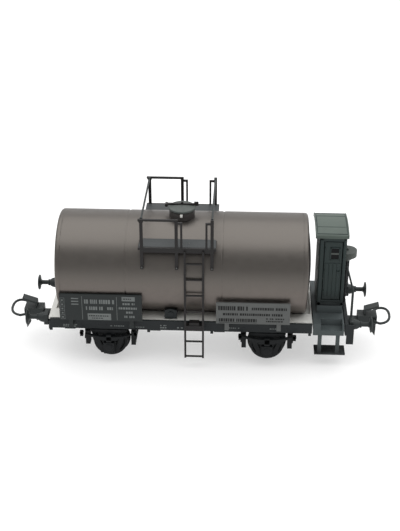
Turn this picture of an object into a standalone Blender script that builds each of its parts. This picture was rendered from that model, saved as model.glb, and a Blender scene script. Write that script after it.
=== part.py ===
"""Model tank wagon with a brakeman's cab, H0 scale.

Metres, +Z up. The origin is on the ground under the middle of the wagon, and
the cab stands at the +X end. Near is -Y and far is +Y. The wheel flanges stand
on Z = 0.
"""

import math

import bmesh
import bpy
from mathutils import Matrix, Vector

MM = 0.001
NEAR = -1
FAR = 1
SIDES = {"near": NEAR, "far": FAR}
ENDS = {"left": -1, "right": 1}

# Fits: the gap between pieces that rest on each other, and round a turning pin.
GAP = 0.25 * MM
PIN_GAP = 0.2 * MM

# Round faces are shaded smooth, and edges that turn more than this stay crisp.
CREASE = math.radians(35)

# Wheelsets. The wheels set the height of the frame over them.
FLANGE_RADIUS = 5.5 * MM
TREAD_RADIUS = FLANGE_RADIUS - 0.6 * MM
FLANGE_THICKNESS = 0.8 * MM
WHEEL_WIDTH = 2.8 * MM
WHEEL_BACK = 7.0 * MM
WHEEL_SIDES = 40
AXLE_RADIUS = 0.75 * MM
AXLE_POINT = 1.2 * MM

# Plates and heights of the underframe, upwards from the sole bars' lower edge.
PLATE_THICKNESS = 0.7 * MM
SOLE_BOTTOM = 2 * FLANGE_RADIUS
SOLE_THICKNESS = 1.2 * MM
SOLE_LIP = 0.5 * MM
FRAME_TOP = SOLE_BOTTOM + 3.0 * MM
SILL_TOP = SOLE_BOTTOM + GAP
SILL_BOTTOM = SILL_TOP - 1.65 * MM
SILL_HALF_WIDTH = 2.5 * MM
BEAM_BOTTOM = SOLE_BOTTOM - 0.4 * MM
BEAM_THICKNESS = 1.0 * MM
CROSS_BAR_BOTTOM = SOLE_BOTTOM - 0.6 * MM
CROSS_BAR_WIDTH = 3.0 * MM
PLATE_TOP = FRAME_TOP + 0.05 * MM

# Tank, which lies in the base plate's trough.
TANK_RADIUS = 14.15 * MM
TANK_HEIGHT = SILL_TOP + PLATE_THICKNESS + 2 * GAP + TANK_RADIUS
TANK_WALL = 1.2 * MM
TANK_END_RIM = 0.9 * MM
TANK_END_BULGE = 1.1 * MM
TANK_SIDES = 56
SEAM_PLACES = (-19.8 * MM, 6.6 * MM)
SEAM_WIDTH = 0.4 * MM
SEAM_DEPTH = 0.12 * MM

# Length and width of the underframe.
FRAME_END = 41.9 * MM
FRAME_HALF_WIDTH = WHEEL_BACK + WHEEL_WIDTH + 2.7 * MM
SOLE_RIGHT_END = FRAME_END - 10.1 * MM
TANK_LEFT = -FRAME_END + 2.8 * MM
TANK_RIGHT = SOLE_RIGHT_END - 1.7 * MM
PIVOT_PLACE = FRAME_END - 5.9 * MM
AXLE_PLACES = {"left": -FRAME_END + 16.9 * MM, "right": SOLE_RIGHT_END - 12.4 * MM}
SCREW_PLACES = {"left": AXLE_PLACES["left"] + 13.0 * MM, "right": AXLE_PLACES["right"] - 13.4 * MM}
CROSS_BAR_PLACES = (-PIVOT_PLACE, SCREW_PLACES["left"], SCREW_PLACES["right"], PIVOT_PLACE)
RIB_WIDTH = 0.8 * MM
RIB_DEPTH = 0.8 * MM
RIB_INSET = 0.6 * MM
RIB_PLACES = (
    -FRAME_END + RIB_INSET,
    AXLE_PLACES["left"] + 11.2 * MM,
    AXLE_PLACES["right"] - 15.5 * MM,
    SOLE_RIGHT_END - RIB_INSET,
)
HOSE_PLATE_LENGTH = 1.5 * MM
HOSE_PLATE_BOTTOM = BEAM_BOTTOM - 2.8 * MM
TROUGH_HALF_WIDTH = WHEEL_BACK - PIN_GAP

# Ladders, signs and walkway edges stand clear of both the tank and the frame.
SIDE_PLANE = max(TANK_RADIUS, FRAME_HALF_WIDTH + 1.65 * MM)

# Filler dome.
DOME_PLACE = -4.9 * MM
DOME_RADIUS = 3.55 * MM
DOME_WALL = 1.0 * MM
DOME_TOP = TANK_HEIGHT + TANK_RADIUS + 2.0 * MM
LID_RADIUS = DOME_RADIUS + 0.2 * MM
LID_THICKNESS = 0.5 * MM
STRAP_HALF_LENGTH = LID_RADIUS + 0.55 * MM
STRAP_SIDES = (0.6 * MM, 1.5 * MM)
HINGE_SIDES = (0.3 * MM, 1.8 * MM)
LATCH_SIDES = (0.8 * MM, 1.3 * MM)
LATCH_INNER = 1.2 * MM
LATCH_OUTER = 0.3 * MM

# Walkways with their railings.
WALKWAY_LEFT = -16.0 * MM
WALKWAY_RIGHT = 5.0 * MM
WALKWAY_EDGE = SIDE_PLANE + 0.05 * MM
WALKWAY_INNER = WALKWAY_EDGE - 5.7 * MM
WALKWAY_TOP = TANK_HEIGHT + TANK_RADIUS - 3.05 * MM
WALKWAY_THICKNESS = 0.7 * MM
WALKWAY_LIP = 1.4 * MM
RAIL_TOP = WALKWAY_TOP + 8.4 * MM
RAIL_THICKNESS = 0.55 * MM
POST_PLACES = (-15.0 * MM, -5.65 * MM, 3.9 * MM)
POST_WIDTH = 0.85 * MM
GRIP_PLACES = (-4.3 * MM, 2.4 * MM)
GRIP_DROP = 0.8 * MM
FOOT_HEIGHT = TANK_HEIGHT + 4.6 * MM
CROSSBAR_RADIUS = 0.28 * MM

# Ladders.
LADDER_LEFT = -3.4 * MM
LADDER_RIGHT = 1.55 * MM
LADDER_FACE = WALKWAY_EDGE + 0.65 * MM
LADDER_THICKNESS = 0.5 * MM
LADDER_BOTTOM = 3.5 * MM
STILE_WIDTH = 0.55 * MM
RUNG_COUNT = 7
RUNG_LOWEST = 4.0 * MM
RUNG_HIGHEST = WALKWAY_TOP - WALKWAY_THICKNESS - 3.72 * MM
RUNG_PITCH = (RUNG_HIGHEST - RUNG_LOWEST) / (RUNG_COUNT - 1)
RUNG_HEIGHT = 0.4 * MM
STAND_OFF_HEIGHTS = (FRAME_TOP - 1.8 * MM, FRAME_TOP - 0.2 * MM)
STEP_BLOCK_HEIGHTS = (FRAME_TOP - 0.5 * MM, FRAME_TOP + 0.8 * MM)
STEP_BLOCK_HALF_WIDTH = 1.4 * MM

# Sign boards: left end, right end and top of each. They stand just clear of the tank.
SIGN_THICKNESS = 0.5 * MM
SIGN_FACE = SIDE_PLANE + 0.3 * MM
SIGN_BOTTOM = FRAME_TOP + 0.8 * MM
SIGN_FOOT = 1.2 * MM
SIGN_FOOT_BOTTOM = FRAME_TOP - 1.5 * MM
SIGN_LEFT_START = TANK_LEFT + 0.9 * MM
SIGN_RIGHT_STOP = TANK_RIGHT - 4.65 * MM
SIGNS = {
    "left": (SIGN_LEFT_START, LADDER_LEFT - 11.9 * MM, TANK_HEIGHT - 3.5 * MM),
    "right": (LADDER_RIGHT + 3.55 * MM, SIGN_RIGHT_STOP, TANK_HEIGHT - 5.2 * MM),
}

# Axle guards, springs and brakes.
GUARD_FACE = FRAME_HALF_WIDTH + 0.1 * MM
GUARD_THICKNESS = 1.0 * MM
GUARD_TOP_HALF = 5.2 * MM
GUARD_BOTTOM_HALF = 2.45 * MM
GUARD_BOTTOM = FLANGE_RADIUS - 2.3 * MM
GUARD_LEG_WIDTH = 1.5 * MM
GUARD_HOLE_INSET = 0.35 * MM
GUARD_HOLE_TOP = 1.0 * MM
AXLE_HALF_LENGTH = GUARD_FACE - 0.5 * MM
BOX_HALF_WIDTH = 1.5 * MM
BOX_BOTTOM = FLANGE_RADIUS - 2.0 * MM
BOX_TOP = FLANGE_RADIUS + 1.5 * MM
BOX_DEPTH = 1.1 * MM
SPRING_HALF_LENGTH = 7.9 * MM
SPRING_SAG = 1.5 * MM
SPRING_PLATES = 0.7 * MM
SPRING_WIDTH = 0.9 * MM
SPRING_STEPS = 10
SPRING_EYE_HALF = 0.5 * MM
SPRING_EYE_HEIGHT = 1.6 * MM
SPRING_EYE_INSET = 0.4 * MM
BUCKLE_BITE = 0.3 * MM
SHOE_GAP = 0.35 * MM
SHOE_THICKNESS = 1.3 * MM
SHOE_BOTTOM = FLANGE_RADIUS - 1.6 * MM
SHOE_TOP = FLANGE_RADIUS + 2.8 * MM
SHOE_INNER = WHEEL_BACK + 0.2 * MM
SHOE_OUTER = WHEEL_BACK + WHEEL_WIDTH - 0.4 * MM
HANGER_WIDTH = 0.8 * MM
HANGER_INSET = 0.6 * MM
HANGER_PROUD = 0.2 * MM
BRAKE_BEAM_HEIGHT = 1.0 * MM
BRAKE_BEAM_INSET = 0.2 * MM
BRAKE_BEAM_NEAR = 0.4 * MM
BRAKE_BEAM_PROUD = 0.3 * MM

# Buffers.
BUFFER_REACH = FRAME_END + 6.6 * MM
BUFFER_SPREAD = 20.0 * MM
BUFFER_HEIGHT = SOLE_BOTTOM + 1.9 * MM
BUFFER_HEAD_RADIUS = 2.25 * MM
BUFFER_HEAD_THICKNESS = 0.6 * MM
BUFFER_SHANK_RADIUS = 0.65 * MM
BUFFER_FLANGE_RADIUS = 1.4 * MM
BUFFER_BOSS = 3.2 * MM
BUFFER_BOSS_LENGTH = 1.5 * MM
BUFFER_FLANGE_LENGTH = 1.6 * MM

# Couplers: a drawbar that swings on a pin, with a wire hoop hinged on its head.
PIVOT_RADIUS = 0.7 * MM
PIVOT_HEAD_RADIUS = PIVOT_RADIUS + 0.8 * MM
PIVOT_HEAD_THICKNESS = 0.7 * MM
EYE_RADIUS = PIVOT_RADIUS + 1.5 * MM
DRAWBAR_TOP = SILL_BOTTOM - 0.4 * MM
DRAWBAR_BOTTOM = DRAWBAR_TOP - 1.0 * MM
DRAWBAR_HALF_WIDTH = 1.1 * MM
HEAD_BACK = FRAME_END + 3.5 * MM
HEAD_FRONT = HEAD_BACK + 5.5 * MM
HEAD_HALF_WIDTH = 1.9 * MM
HEAD_TOP = DRAWBAR_TOP + 1.5 * MM
HOOK_RISER = HEAD_BACK + 1.8 * MM
HOOK_LOW = HEAD_TOP + 1.8 * MM
HOOK_HIGH = HOOK_LOW + 1.4 * MM
HOOK_TIP = HEAD_FRONT + 0.4 * MM
HOOK_THICKNESS = 0.5 * MM
HOOK_HALF_WIDTH = 1.25 * MM
HOOP_HINGE = HEAD_FRONT - 0.9 * MM
HOOP_HINGE_HEIGHT = DRAWBAR_BOTTOM + 1.4 * MM
HOOP_REACH = HOOP_HINGE + 4.9 * MM
HOOP_ROOT_HALF_WIDTH = HEAD_HALF_WIDTH + 1.1 * MM
HOOP_HALF_WIDTH = HOOP_ROOT_HALF_WIDTH + 1.5 * MM
HOOP_RISE = 0.8 * MM
HOOP_WIRE = 0.38 * MM
HOOP_STEPS = 12
HOOP_WIRE_SIDES = 8
TAB_HALF_THICKNESS = 0.35 * MM
TAB_WIDTH = 1.2 * MM
TAB_SHOULDER = 0.54 * MM
TAB_TIP = HOOP_HINGE_HEIGHT - 6.3 * MM
CENTRING_LENGTH = 4.2 * MM
CENTRING_THICKNESS = 0.3 * MM

# Brakeman's platform and its steps.
PLATFORM_LEFT = SOLE_RIGHT_END + 0.3 * MM
PLATFORM_TOP = FRAME_TOP + 0.1 * MM
PLATFORM_BOTTOM = PLATFORM_TOP - 2.6 * MM
PLATFORM_RAIL_BOTTOM = PLATFORM_BOTTOM - 1.0 * MM
PLATFORM_RAIL = 1.0 * MM
RECESS_LEFT = PLATFORM_LEFT + 2.1 * MM
RECESS_EDGE = FRAME_HALF_WIDTH - 3.05 * MM
RECESS_FLOOR = PLATFORM_TOP - 2.05 * MM
PLINTH_TOP = PLATFORM_TOP + 2.5 * MM
STEP_LEFT = PLATFORM_LEFT + 0.65 * MM
STEP_RIGHT = FRAME_END - 0.5 * MM
STEP_OUTER = FRAME_HALF_WIDTH - 0.4 * MM
STEP_INNER = STEP_OUTER - 4.4 * MM
STEP_TOP = 4.45 * MM
STEP_THICKNESS = 0.55 * MM
STEP_HANGER_PLACES = (PLATFORM_LEFT + 2.0 * MM, FRAME_END - 2.8 * MM)
STEP_HANGER_WIDTH = 1.1 * MM
STEP_HANGER_SIDES = (STEP_OUTER - 0.6 * MM, STEP_OUTER - 0.1 * MM)

# Brakeman's cab.
CAB_LEFT = PLATFORM_LEFT + 1.1 * MM
CAB_RIGHT = FRAME_END - 1.6 * MM
CAB_HALF_WIDTH = 6.3 * MM
CAB_WALL = 0.8 * MM
CAB_TOP = PLINTH_TOP + 21.4 * MM
DOOR_LEFT = CAB_LEFT + 1.1 * MM
DOOR_RIGHT = CAB_RIGHT - 0.8 * MM
DOOR_SILL = PLINTH_TOP + 1.8 * MM
DOOR_TOP = CAB_TOP - 1.3 * MM
DOOR_THICKNESS = 0.5 * MM
KNOB_HEIGHT = DOOR_SILL + 9.1 * MM
KNOB_INSET = 0.6 * MM
KNOB_RADIUS = 0.3 * MM
KNOB_PROUD = 0.35 * MM
WINDOW_LEFT = DOOR_LEFT + 2.0 * MM
WINDOW_RIGHT = DOOR_RIGHT - 1.1 * MM
WINDOW_BOTTOM = DOOR_TOP - 5.4 * MM
WINDOW_PANE_HEIGHT = 1.4 * MM
WINDOW_BAR = 0.5 * MM
ROOF_LEFT = CAB_LEFT - 1.4 * MM
ROOF_RIGHT = CAB_RIGHT + 0.6 * MM
ROOF_HALF_WIDTH = CAB_HALF_WIDTH + 0.67 * MM
ROOF_EAVE = CAB_TOP + GAP
ROOF_RISE = 1.0 * MM
ROOF_THICKNESS = 0.7 * MM
ROOF_STEPS = 12
GUTTER_INNER = ROOF_HALF_WIDTH - 0.35 * MM
GUTTER_OUTER = ROOF_HALF_WIDTH + 0.15 * MM
GUTTER_DROP = 0.3 * MM

# Crank housing, brake spindle and handrails at the cab's outer end.
HOUSING_RADIUS = 2.7 * MM
HOUSING_TOP = CAB_TOP - 6.9 * MM
HOUSING_BOTTOM = HOUSING_TOP - 1.7 * MM
HOUSING_REACH = CAB_RIGHT + 3.7 * MM
HOUSING_CONE_TIP = HOUSING_BOTTOM - 1.5 * MM
HOUSING_CONE_RADIUS = 0.8 * MM
SPINDLE_RADIUS = 0.35 * MM
SPINDLE_COLLAR_RADIUS = 0.65 * MM
SPINDLE_COLLARS = (PLATFORM_TOP + 2.6 * MM, PLATFORM_TOP + 6.2 * MM, PLATFORM_TOP + 11.4 * MM)
COLLAR_HALF_HEIGHT = 0.3 * MM
COLLAR_EDGE = 0.1 * MM
HANDRAIL_RADIUS = 0.35 * MM
HANDRAIL_FOOT = 0.55 * MM
HANDRAIL_INSET = 0.5 * MM
HANDRAIL_BEND = PLATFORM_TOP + 9.1 * MM
HANDRAIL_TOP = HOUSING_BOTTOM - 0.4 * MM

# Other pieces.
VALVE_LEFT = -9.3 * MM
VALVE_RIGHT = -5.9 * MM
VALVE_OUTER = FRAME_HALF_WIDTH - 0.9 * MM
VALVE_INNER = VALVE_OUTER - 3.0 * MM
VALVE_TOP = FRAME_TOP + 2.9 * MM
VALVE_PEAK = VALVE_TOP + 0.5 * MM
BALLAST_LEFT = TANK_LEFT + 11.1 * MM
BALLAST_RIGHT = TANK_RIGHT - 11.1 * MM
BALLAST_HALF_WIDTH = 7.0 * MM
BALLAST_HEIGHT = 5.0 * MM
SCREW_RADIUS = 0.6 * MM
SCREW_HEAD_RADIUS = SCREW_RADIUS + 0.8 * MM
SCREW_HEAD_THICKNESS = 0.6 * MM

# Colour, roughness and metallic value of each material.
PAINTS = {
    "tank_grey": ((0.155, 0.148, 0.138), 0.38, 0.75),
    "frame_slate": ((0.033, 0.040, 0.042), 0.6, 0.0),
    "walkway_grey": ((0.045, 0.047, 0.047), 0.6, 0.0),
    "gear_black": ((0.022, 0.027, 0.027), 0.65, 0.0),
    "cab_green": ((0.036, 0.064, 0.060), 0.55, 0.0),
    "roof_green": ((0.17, 0.21, 0.19), 0.5, 0.0),
    "sign_light": ((0.22, 0.23, 0.23), 0.5, 0.0),
    "housing_grey": ((0.15, 0.155, 0.15), 0.55, 0.0),
    "steel": ((0.45, 0.45, 0.44), 0.35, 1.0),
    "lead": ((0.18, 0.18, 0.19), 0.6, 0.8),
}


def clear_scene():
    for old in list(bpy.data.objects):
        bpy.data.objects.remove(old, do_unlink=True)


def paint(name):
    """The Principled material of this name, made once."""
    if name in bpy.data.materials:
        return bpy.data.materials[name]
    colour, roughness, metallic = PAINTS[name]
    material = bpy.data.materials.new(name)
    material.use_nodes = True
    shader = material.node_tree.nodes["Principled BSDF"]
    shader.inputs["Base Color"].default_value = (*colour, 1.0)
    shader.inputs["Roughness"].default_value = roughness
    shader.inputs["Metallic"].default_value = metallic
    material.diffuse_color = (*colour, 1.0)
    return material


# Shapes: each adds one closed body to a bmesh.


def block(bm, x, y, z):
    """A box between two values along each axis."""
    middle = Vector((sum(x) / 2, sum(y) / 2, sum(z) / 2))
    size = (abs(x[1] - x[0]), abs(y[1] - y[0]), abs(z[1] - z[0]))
    place = Matrix.Translation(middle) @ Matrix.Diagonal((*size, 1.0))
    bmesh.ops.create_cube(bm, size=1.0, matrix=place)


def rod(bm, start, end, radius, sides=14):
    """A round bar between two points."""
    start = Vector(start)
    end = Vector(end)
    along = end - start
    turn = along.to_track_quat("Z", "Y").to_matrix().to_4x4()
    place = Matrix.Translation((start + end) / 2) @ turn
    bmesh.ops.create_cone(
        bm,
        cap_ends=True,
        segments=sides,
        radius1=radius,
        radius2=radius,
        depth=along.length,
        matrix=place,
    )


def lathe(bm, profile, place, axis, sides):
    """Turns a profile of (distance along the axis, radius) pairs round the axis."""
    axis = Vector(axis)
    out = axis.orthogonal().normalized()
    place = Vector(place)
    ring = [bm.verts.new(place + axis * along + out * radius) for along, radius in profile]
    edges = [bm.edges.new(pair) for pair in zip(ring, ring[1:])]
    if profile[0][1] > 0:
        edges.append(bm.edges.new((ring[-1], ring[0])))
    bmesh.ops.spin(
        bm,
        geom=ring + edges,
        cent=place,
        axis=axis,
        angle=2 * math.pi,
        steps=sides,
        use_merge=True,
    )
    bmesh.ops.remove_doubles(bm, verts=bm.verts, dist=1e-7)
    bmesh.ops.recalc_face_normals(bm, faces=bm.faces)


def prism(bm, outline, way, start, end):
    """Extrudes a flat outline along X, Y or Z. The outline gives the other two, in order."""
    index = "xyz".index(way)

    def point(pair, height):
        values = list(pair)
        values.insert(index, height)
        return values

    face = bm.faces.new([bm.verts.new(point(pair, start)) for pair in outline])
    grown = bmesh.ops.extrude_face_region(bm, geom=[face])["geom"]
    moved = [part for part in grown if isinstance(part, bmesh.types.BMVert)]
    bmesh.ops.translate(bm, verts=moved, vec=point((0.0, 0.0), end - start))
    bmesh.ops.recalc_face_normals(bm, faces=bm.faces)


def mesh_of(name, shapes, origin):
    """One mesh of the given shapes, with its origin at the given place."""
    bm = bmesh.new()
    for shape in shapes:
        one = bmesh.new()
        shape(one)
        bmesh.ops.recalc_face_normals(one, faces=one.faces)
        piece = bpy.data.meshes.new("shape")
        one.to_mesh(piece)
        one.free()
        bm.from_mesh(piece)
        bpy.data.meshes.remove(piece)
    bmesh.ops.translate(bm, verts=bm.verts, vec=-Vector(origin))
    mesh = bpy.data.meshes.new(name)
    bm.to_mesh(mesh)
    bm.free()
    return mesh


def helper(owner, name, shapes):
    """A hidden object that a Boolean of its owner reads."""
    tool = bpy.data.objects.new(name, mesh_of(name, shapes, owner.location))
    tool.location = owner.location
    tool.hide_render = True
    tool.display_type = "WIRE"
    bpy.context.scene.collection.objects.link(tool)
    return tool


def boolean(owner, operation, shapes):
    tool = helper(owner, owner.name + "_" + operation.lower(), shapes)
    modifier = owner.modifiers.new(operation.title(), "BOOLEAN")
    modifier.operation = operation
    modifier.object = tool
    modifier.use_self = len(shapes) > 1


def part(name, colour, shapes, cuts=(), origin=(0.0, 0.0, 0.0)):
    """A named piece: the first shape, joined with the others, less the cuts."""
    obj = bpy.data.objects.new(name, mesh_of(name, shapes[:1], origin))
    obj.location = origin
    obj.data.materials.append(paint(colour))
    bpy.context.scene.collection.objects.link(obj)
    if len(shapes) > 1:
        boolean(obj, "UNION", shapes[1:])
    if cuts:
        boolean(obj, "DIFFERENCE", list(cuts))
    obj.data.shade_smooth()
    obj.data.set_sharp_from_angle(angle=CREASE)
    return obj


def box(x, y, z):
    return lambda bm: block(bm, x, y, z)


def bar(start, end, radius, sides=14):
    return lambda bm: rod(bm, start, end, radius, sides)


def turned(profile, place, axis, sides):
    return lambda bm: lathe(bm, profile, place, axis, sides)


def extruded(outline, way, start, end):
    return lambda bm: prism(bm, outline, way, start, end)


def span(side, inner, outer):
    """The Y values of something between two distances from the middle, on one side."""
    return tuple(sorted((side * inner, side * outer)))


def tank_space(clearance):
    """The tank's outer cylinder, grown by a clearance, to cut what rests against it."""
    past = TANK_END_BULGE + GAP
    return bar(
        (TANK_LEFT - past, 0.0, TANK_HEIGHT),
        (TANK_RIGHT + past, 0.0, TANK_HEIGHT),
        TANK_RADIUS + clearance,
        TANK_SIDES,
    )


def centre_hole(x, radius):
    """A cut straight up through the sill and the base plate."""
    return bar((x, 0.0, DRAWBAR_BOTTOM), (x, 0.0, PLATFORM_TOP), radius)


def make_underframe():
    lip_bottom = FRAME_TOP - PLATE_THICKNESS - GAP
    shapes = [
        box(
            (-FRAME_END + BEAM_THICKNESS / 2, FRAME_END - BEAM_THICKNESS / 2),
            (-SILL_HALF_WIDTH, SILL_HALF_WIDTH),
            (SILL_BOTTOM, SILL_TOP),
        )
    ]
    for side in SIDES.values():
        long = (-FRAME_END + BEAM_THICKNESS / 2, SOLE_RIGHT_END)
        web = span(side, FRAME_HALF_WIDTH - SOLE_THICKNESS, FRAME_HALF_WIDTH)
        lip = span(side, FRAME_HALF_WIDTH - SOLE_LIP, FRAME_HALF_WIDTH)
        shapes.append(box(long, web, (SOLE_BOTTOM, lip_bottom)))
        shapes.append(box(long, lip, (lip_bottom - SOLE_LIP, FRAME_TOP)))
        for place in RIB_PLACES[:-1]:
            shapes.append(
                box(
                    (place - RIB_WIDTH / 2, place + RIB_WIDTH / 2),
                    lip,
                    (SOLE_BOTTOM - RIB_DEPTH, SOLE_BOTTOM + RIB_DEPTH),
                )
            )
        last = RIB_PLACES[-1]
        shapes.append(
            box(
                (last - RIB_WIDTH / 2, SOLE_RIGHT_END - SOLE_LIP / 2),
                lip,
                (SOLE_BOTTOM - RIB_DEPTH, SOLE_BOTTOM + RIB_DEPTH),
            )
        )
    across = (-FRAME_HALF_WIDTH, FRAME_HALF_WIDTH)
    shapes.append(
        box((-FRAME_END, -FRAME_END + BEAM_THICKNESS), across, (BEAM_BOTTOM, lip_bottom))
    )
    shapes.append(
        box((FRAME_END - BEAM_THICKNESS, FRAME_END), across, (BEAM_BOTTOM, PLATFORM_TOP))
    )
    reach = FRAME_HALF_WIDTH - SOLE_THICKNESS / 2
    for place in CROSS_BAR_PLACES:
        half = CROSS_BAR_WIDTH / 2
        side_reach = reach if place < SOLE_RIGHT_END else TROUGH_HALF_WIDTH
        shapes.append(
            box(
                (place - half, place + half),
                (-side_reach, side_reach),
                (CROSS_BAR_BOTTOM, SILL_TOP),
            )
        )
    shapes.append(
        box(
            (FRAME_END - BEAM_THICKNESS / 2, FRAME_END + HOSE_PLATE_LENGTH),
            span(NEAR, BUFFER_SPREAD / 2 + BUFFER_BOSS / 2 + GAP, FRAME_HALF_WIDTH),
            (HOSE_PLATE_BOTTOM, PLATFORM_TOP - SOLE_LIP / 2),
        )
    )
    for end in ENDS.values():
        anchor = PIVOT_PLACE - EYE_RADIUS - CENTRING_LENGTH
        shapes.append(
            box(
                tuple(sorted((end * (anchor - RIB_WIDTH), end * (anchor + RIB_WIDTH)))),
                (-DRAWBAR_HALF_WIDTH, DRAWBAR_HALF_WIDTH),
                (DRAWBAR_BOTTOM, SILL_BOTTOM + RIB_DEPTH),
            )
        )
    cuts = [centre_hole(end * PIVOT_PLACE, PIVOT_RADIUS + PIN_GAP) for end in ENDS.values()]
    cuts += [centre_hole(x, SCREW_RADIUS + PIN_GAP) for x in SCREW_PLACES.values()]
    for end in ENDS.values():
        anchor = PIVOT_PLACE - EYE_RADIUS - CENTRING_LENGTH
        slot = CENTRING_THICKNESS / 2 + PIN_GAP
        cuts.append(
            box(
                tuple(sorted((end * anchor, end * (anchor + 2 * RIB_WIDTH)))),
                (-slot, slot),
                (DRAWBAR_BOTTOM - GAP, SILL_BOTTOM),
            )
        )
    part("underframe", "frame_slate", shapes, cuts)


def make_base_plate():
    top = PLATE_TOP
    half = FRAME_HALF_WIDTH - SOLE_LIP - GAP
    right = SOLE_RIGHT_END
    plate = box((-FRAME_END, right), (-half, half), (top - PLATE_THICKNESS, top))
    trough = box(
        (-FRAME_END + BEAM_THICKNESS + GAP, right),
        (-TROUGH_HALF_WIDTH, TROUGH_HALF_WIDTH),
        (SILL_TOP + GAP, top - PLATE_THICKNESS / 2),
    )
    cuts = [tank_space(GAP)]
    cuts += [centre_hole(x, SCREW_RADIUS + PIN_GAP) for x in SCREW_PLACES.values()]
    part("base_plate", "tank_grey", [plate, trough], cuts)


def make_tank():
    left = TANK_LEFT + TANK_END_RIM + GAP
    right = TANK_RIGHT - TANK_END_RIM - GAP
    profile = [(left, TANK_RADIUS - TANK_WALL), (left, TANK_RADIUS)]
    for place in SEAM_PLACES:
        half = SEAM_WIDTH / 2
        profile.append((place - half, TANK_RADIUS))
        profile.append((place, TANK_RADIUS - SEAM_DEPTH))
        profile.append((place + half, TANK_RADIUS))
    profile += [(right, TANK_RADIUS), (right, TANK_RADIUS - TANK_WALL)]
    filler = bar(
        (DOME_PLACE, 0.0, TANK_HEIGHT),
        (DOME_PLACE, 0.0, TANK_HEIGHT + 2 * TANK_RADIUS),
        DOME_RADIUS - DOME_WALL,
        24,
    )
    barrel = turned(profile, (0.0, 0.0, TANK_HEIGHT), (1.0, 0.0, 0.0), TANK_SIDES)
    part("tank_barrel", "tank_grey", [barrel], [filler])
    bore = TANK_RADIUS - TANK_WALL - GAP
    for end, way in ENDS.items():
        rim = TANK_RIGHT if way > 0 else -TANK_LEFT
        back = rim - TANK_END_RIM
        outline = [
            (back - 1.5 * TANK_END_RIM, 0.0),
            (back - 1.5 * TANK_END_RIM, bore),
            (back, bore),
            (back, TANK_RADIUS),
            (rim - TANK_END_RIM / 3, TANK_RADIUS),
            (rim, TANK_RADIUS - TANK_END_RIM / 3),
        ]
        for step in range(1, 5):
            share = 1 - step / 4
            outline.append(
                (
                    rim + TANK_END_BULGE * (1 - share**2),
                    (TANK_RADIUS - TANK_END_RIM / 3) * share,
                )
            )
        disc = turned(outline, (0.0, 0.0, TANK_HEIGHT), (way, 0.0, 0.0), TANK_SIDES)
        part("tank_end_" + end, "tank_grey", [disc])


def make_ballast():
    inside = TANK_RADIUS - TANK_WALL - GAP
    bottom = TANK_HEIGHT - math.sqrt(inside**2 - BALLAST_HALF_WIDTH**2)
    part(
        "ballast_weight",
        "lead",
        [
            box(
                (BALLAST_LEFT, BALLAST_RIGHT),
                (-BALLAST_HALF_WIDTH, BALLAST_HALF_WIDTH),
                (bottom, bottom + BALLAST_HEIGHT),
            )
        ],
    )


def make_dome():
    neck = turned(
        [
            (0.0, DOME_RADIUS - DOME_WALL),
            (0.0, DOME_RADIUS),
            (DOME_TOP - TANK_HEIGHT - TANK_WALL, DOME_RADIUS),
            (DOME_TOP - TANK_HEIGHT - TANK_WALL, DOME_RADIUS - DOME_WALL),
        ],
        (DOME_PLACE, 0.0, TANK_HEIGHT + TANK_WALL),
        (0.0, 0.0, 1.0),
        28,
    )
    part("dome_neck", "walkway_grey", [neck], [tank_space(GAP)])
    low = DOME_TOP + GAP
    lid = turned(
        [
            (0.0, 0.0),
            (0.0, LID_RADIUS),
            (LID_THICKNESS * 0.7, LID_RADIUS),
            (LID_THICKNESS, LID_RADIUS * 0.93),
            (LID_THICKNESS * 1.3, 0.0),
        ],
        (DOME_PLACE, 0.0, low),
        (0.0, 0.0, 1.0),
        28,
    )
    strap_top = low + LID_THICKNESS * 2.1
    strap = box(
        (DOME_PLACE - STRAP_HALF_LENGTH, DOME_PLACE + STRAP_HALF_LENGTH),
        STRAP_SIDES,
        (low + LID_THICKNESS / 3, strap_top),
    )
    hinge = bar(
        (DOME_PLACE - STRAP_HALF_LENGTH, HINGE_SIDES[0], low + LID_THICKNESS),
        (DOME_PLACE - STRAP_HALF_LENGTH, HINGE_SIDES[1], low + LID_THICKNESS),
        LID_THICKNESS,
        10,
    )
    strap_end = DOME_PLACE + STRAP_HALF_LENGTH
    latch = box(
        (strap_end - LATCH_INNER, strap_end + LATCH_OUTER),
        LATCH_SIDES,
        (low + LID_THICKNESS / 2, strap_top + LID_THICKNESS),
    )
    part("dome_lid", "walkway_grey", [lid, strap, hinge, latch])


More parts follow.
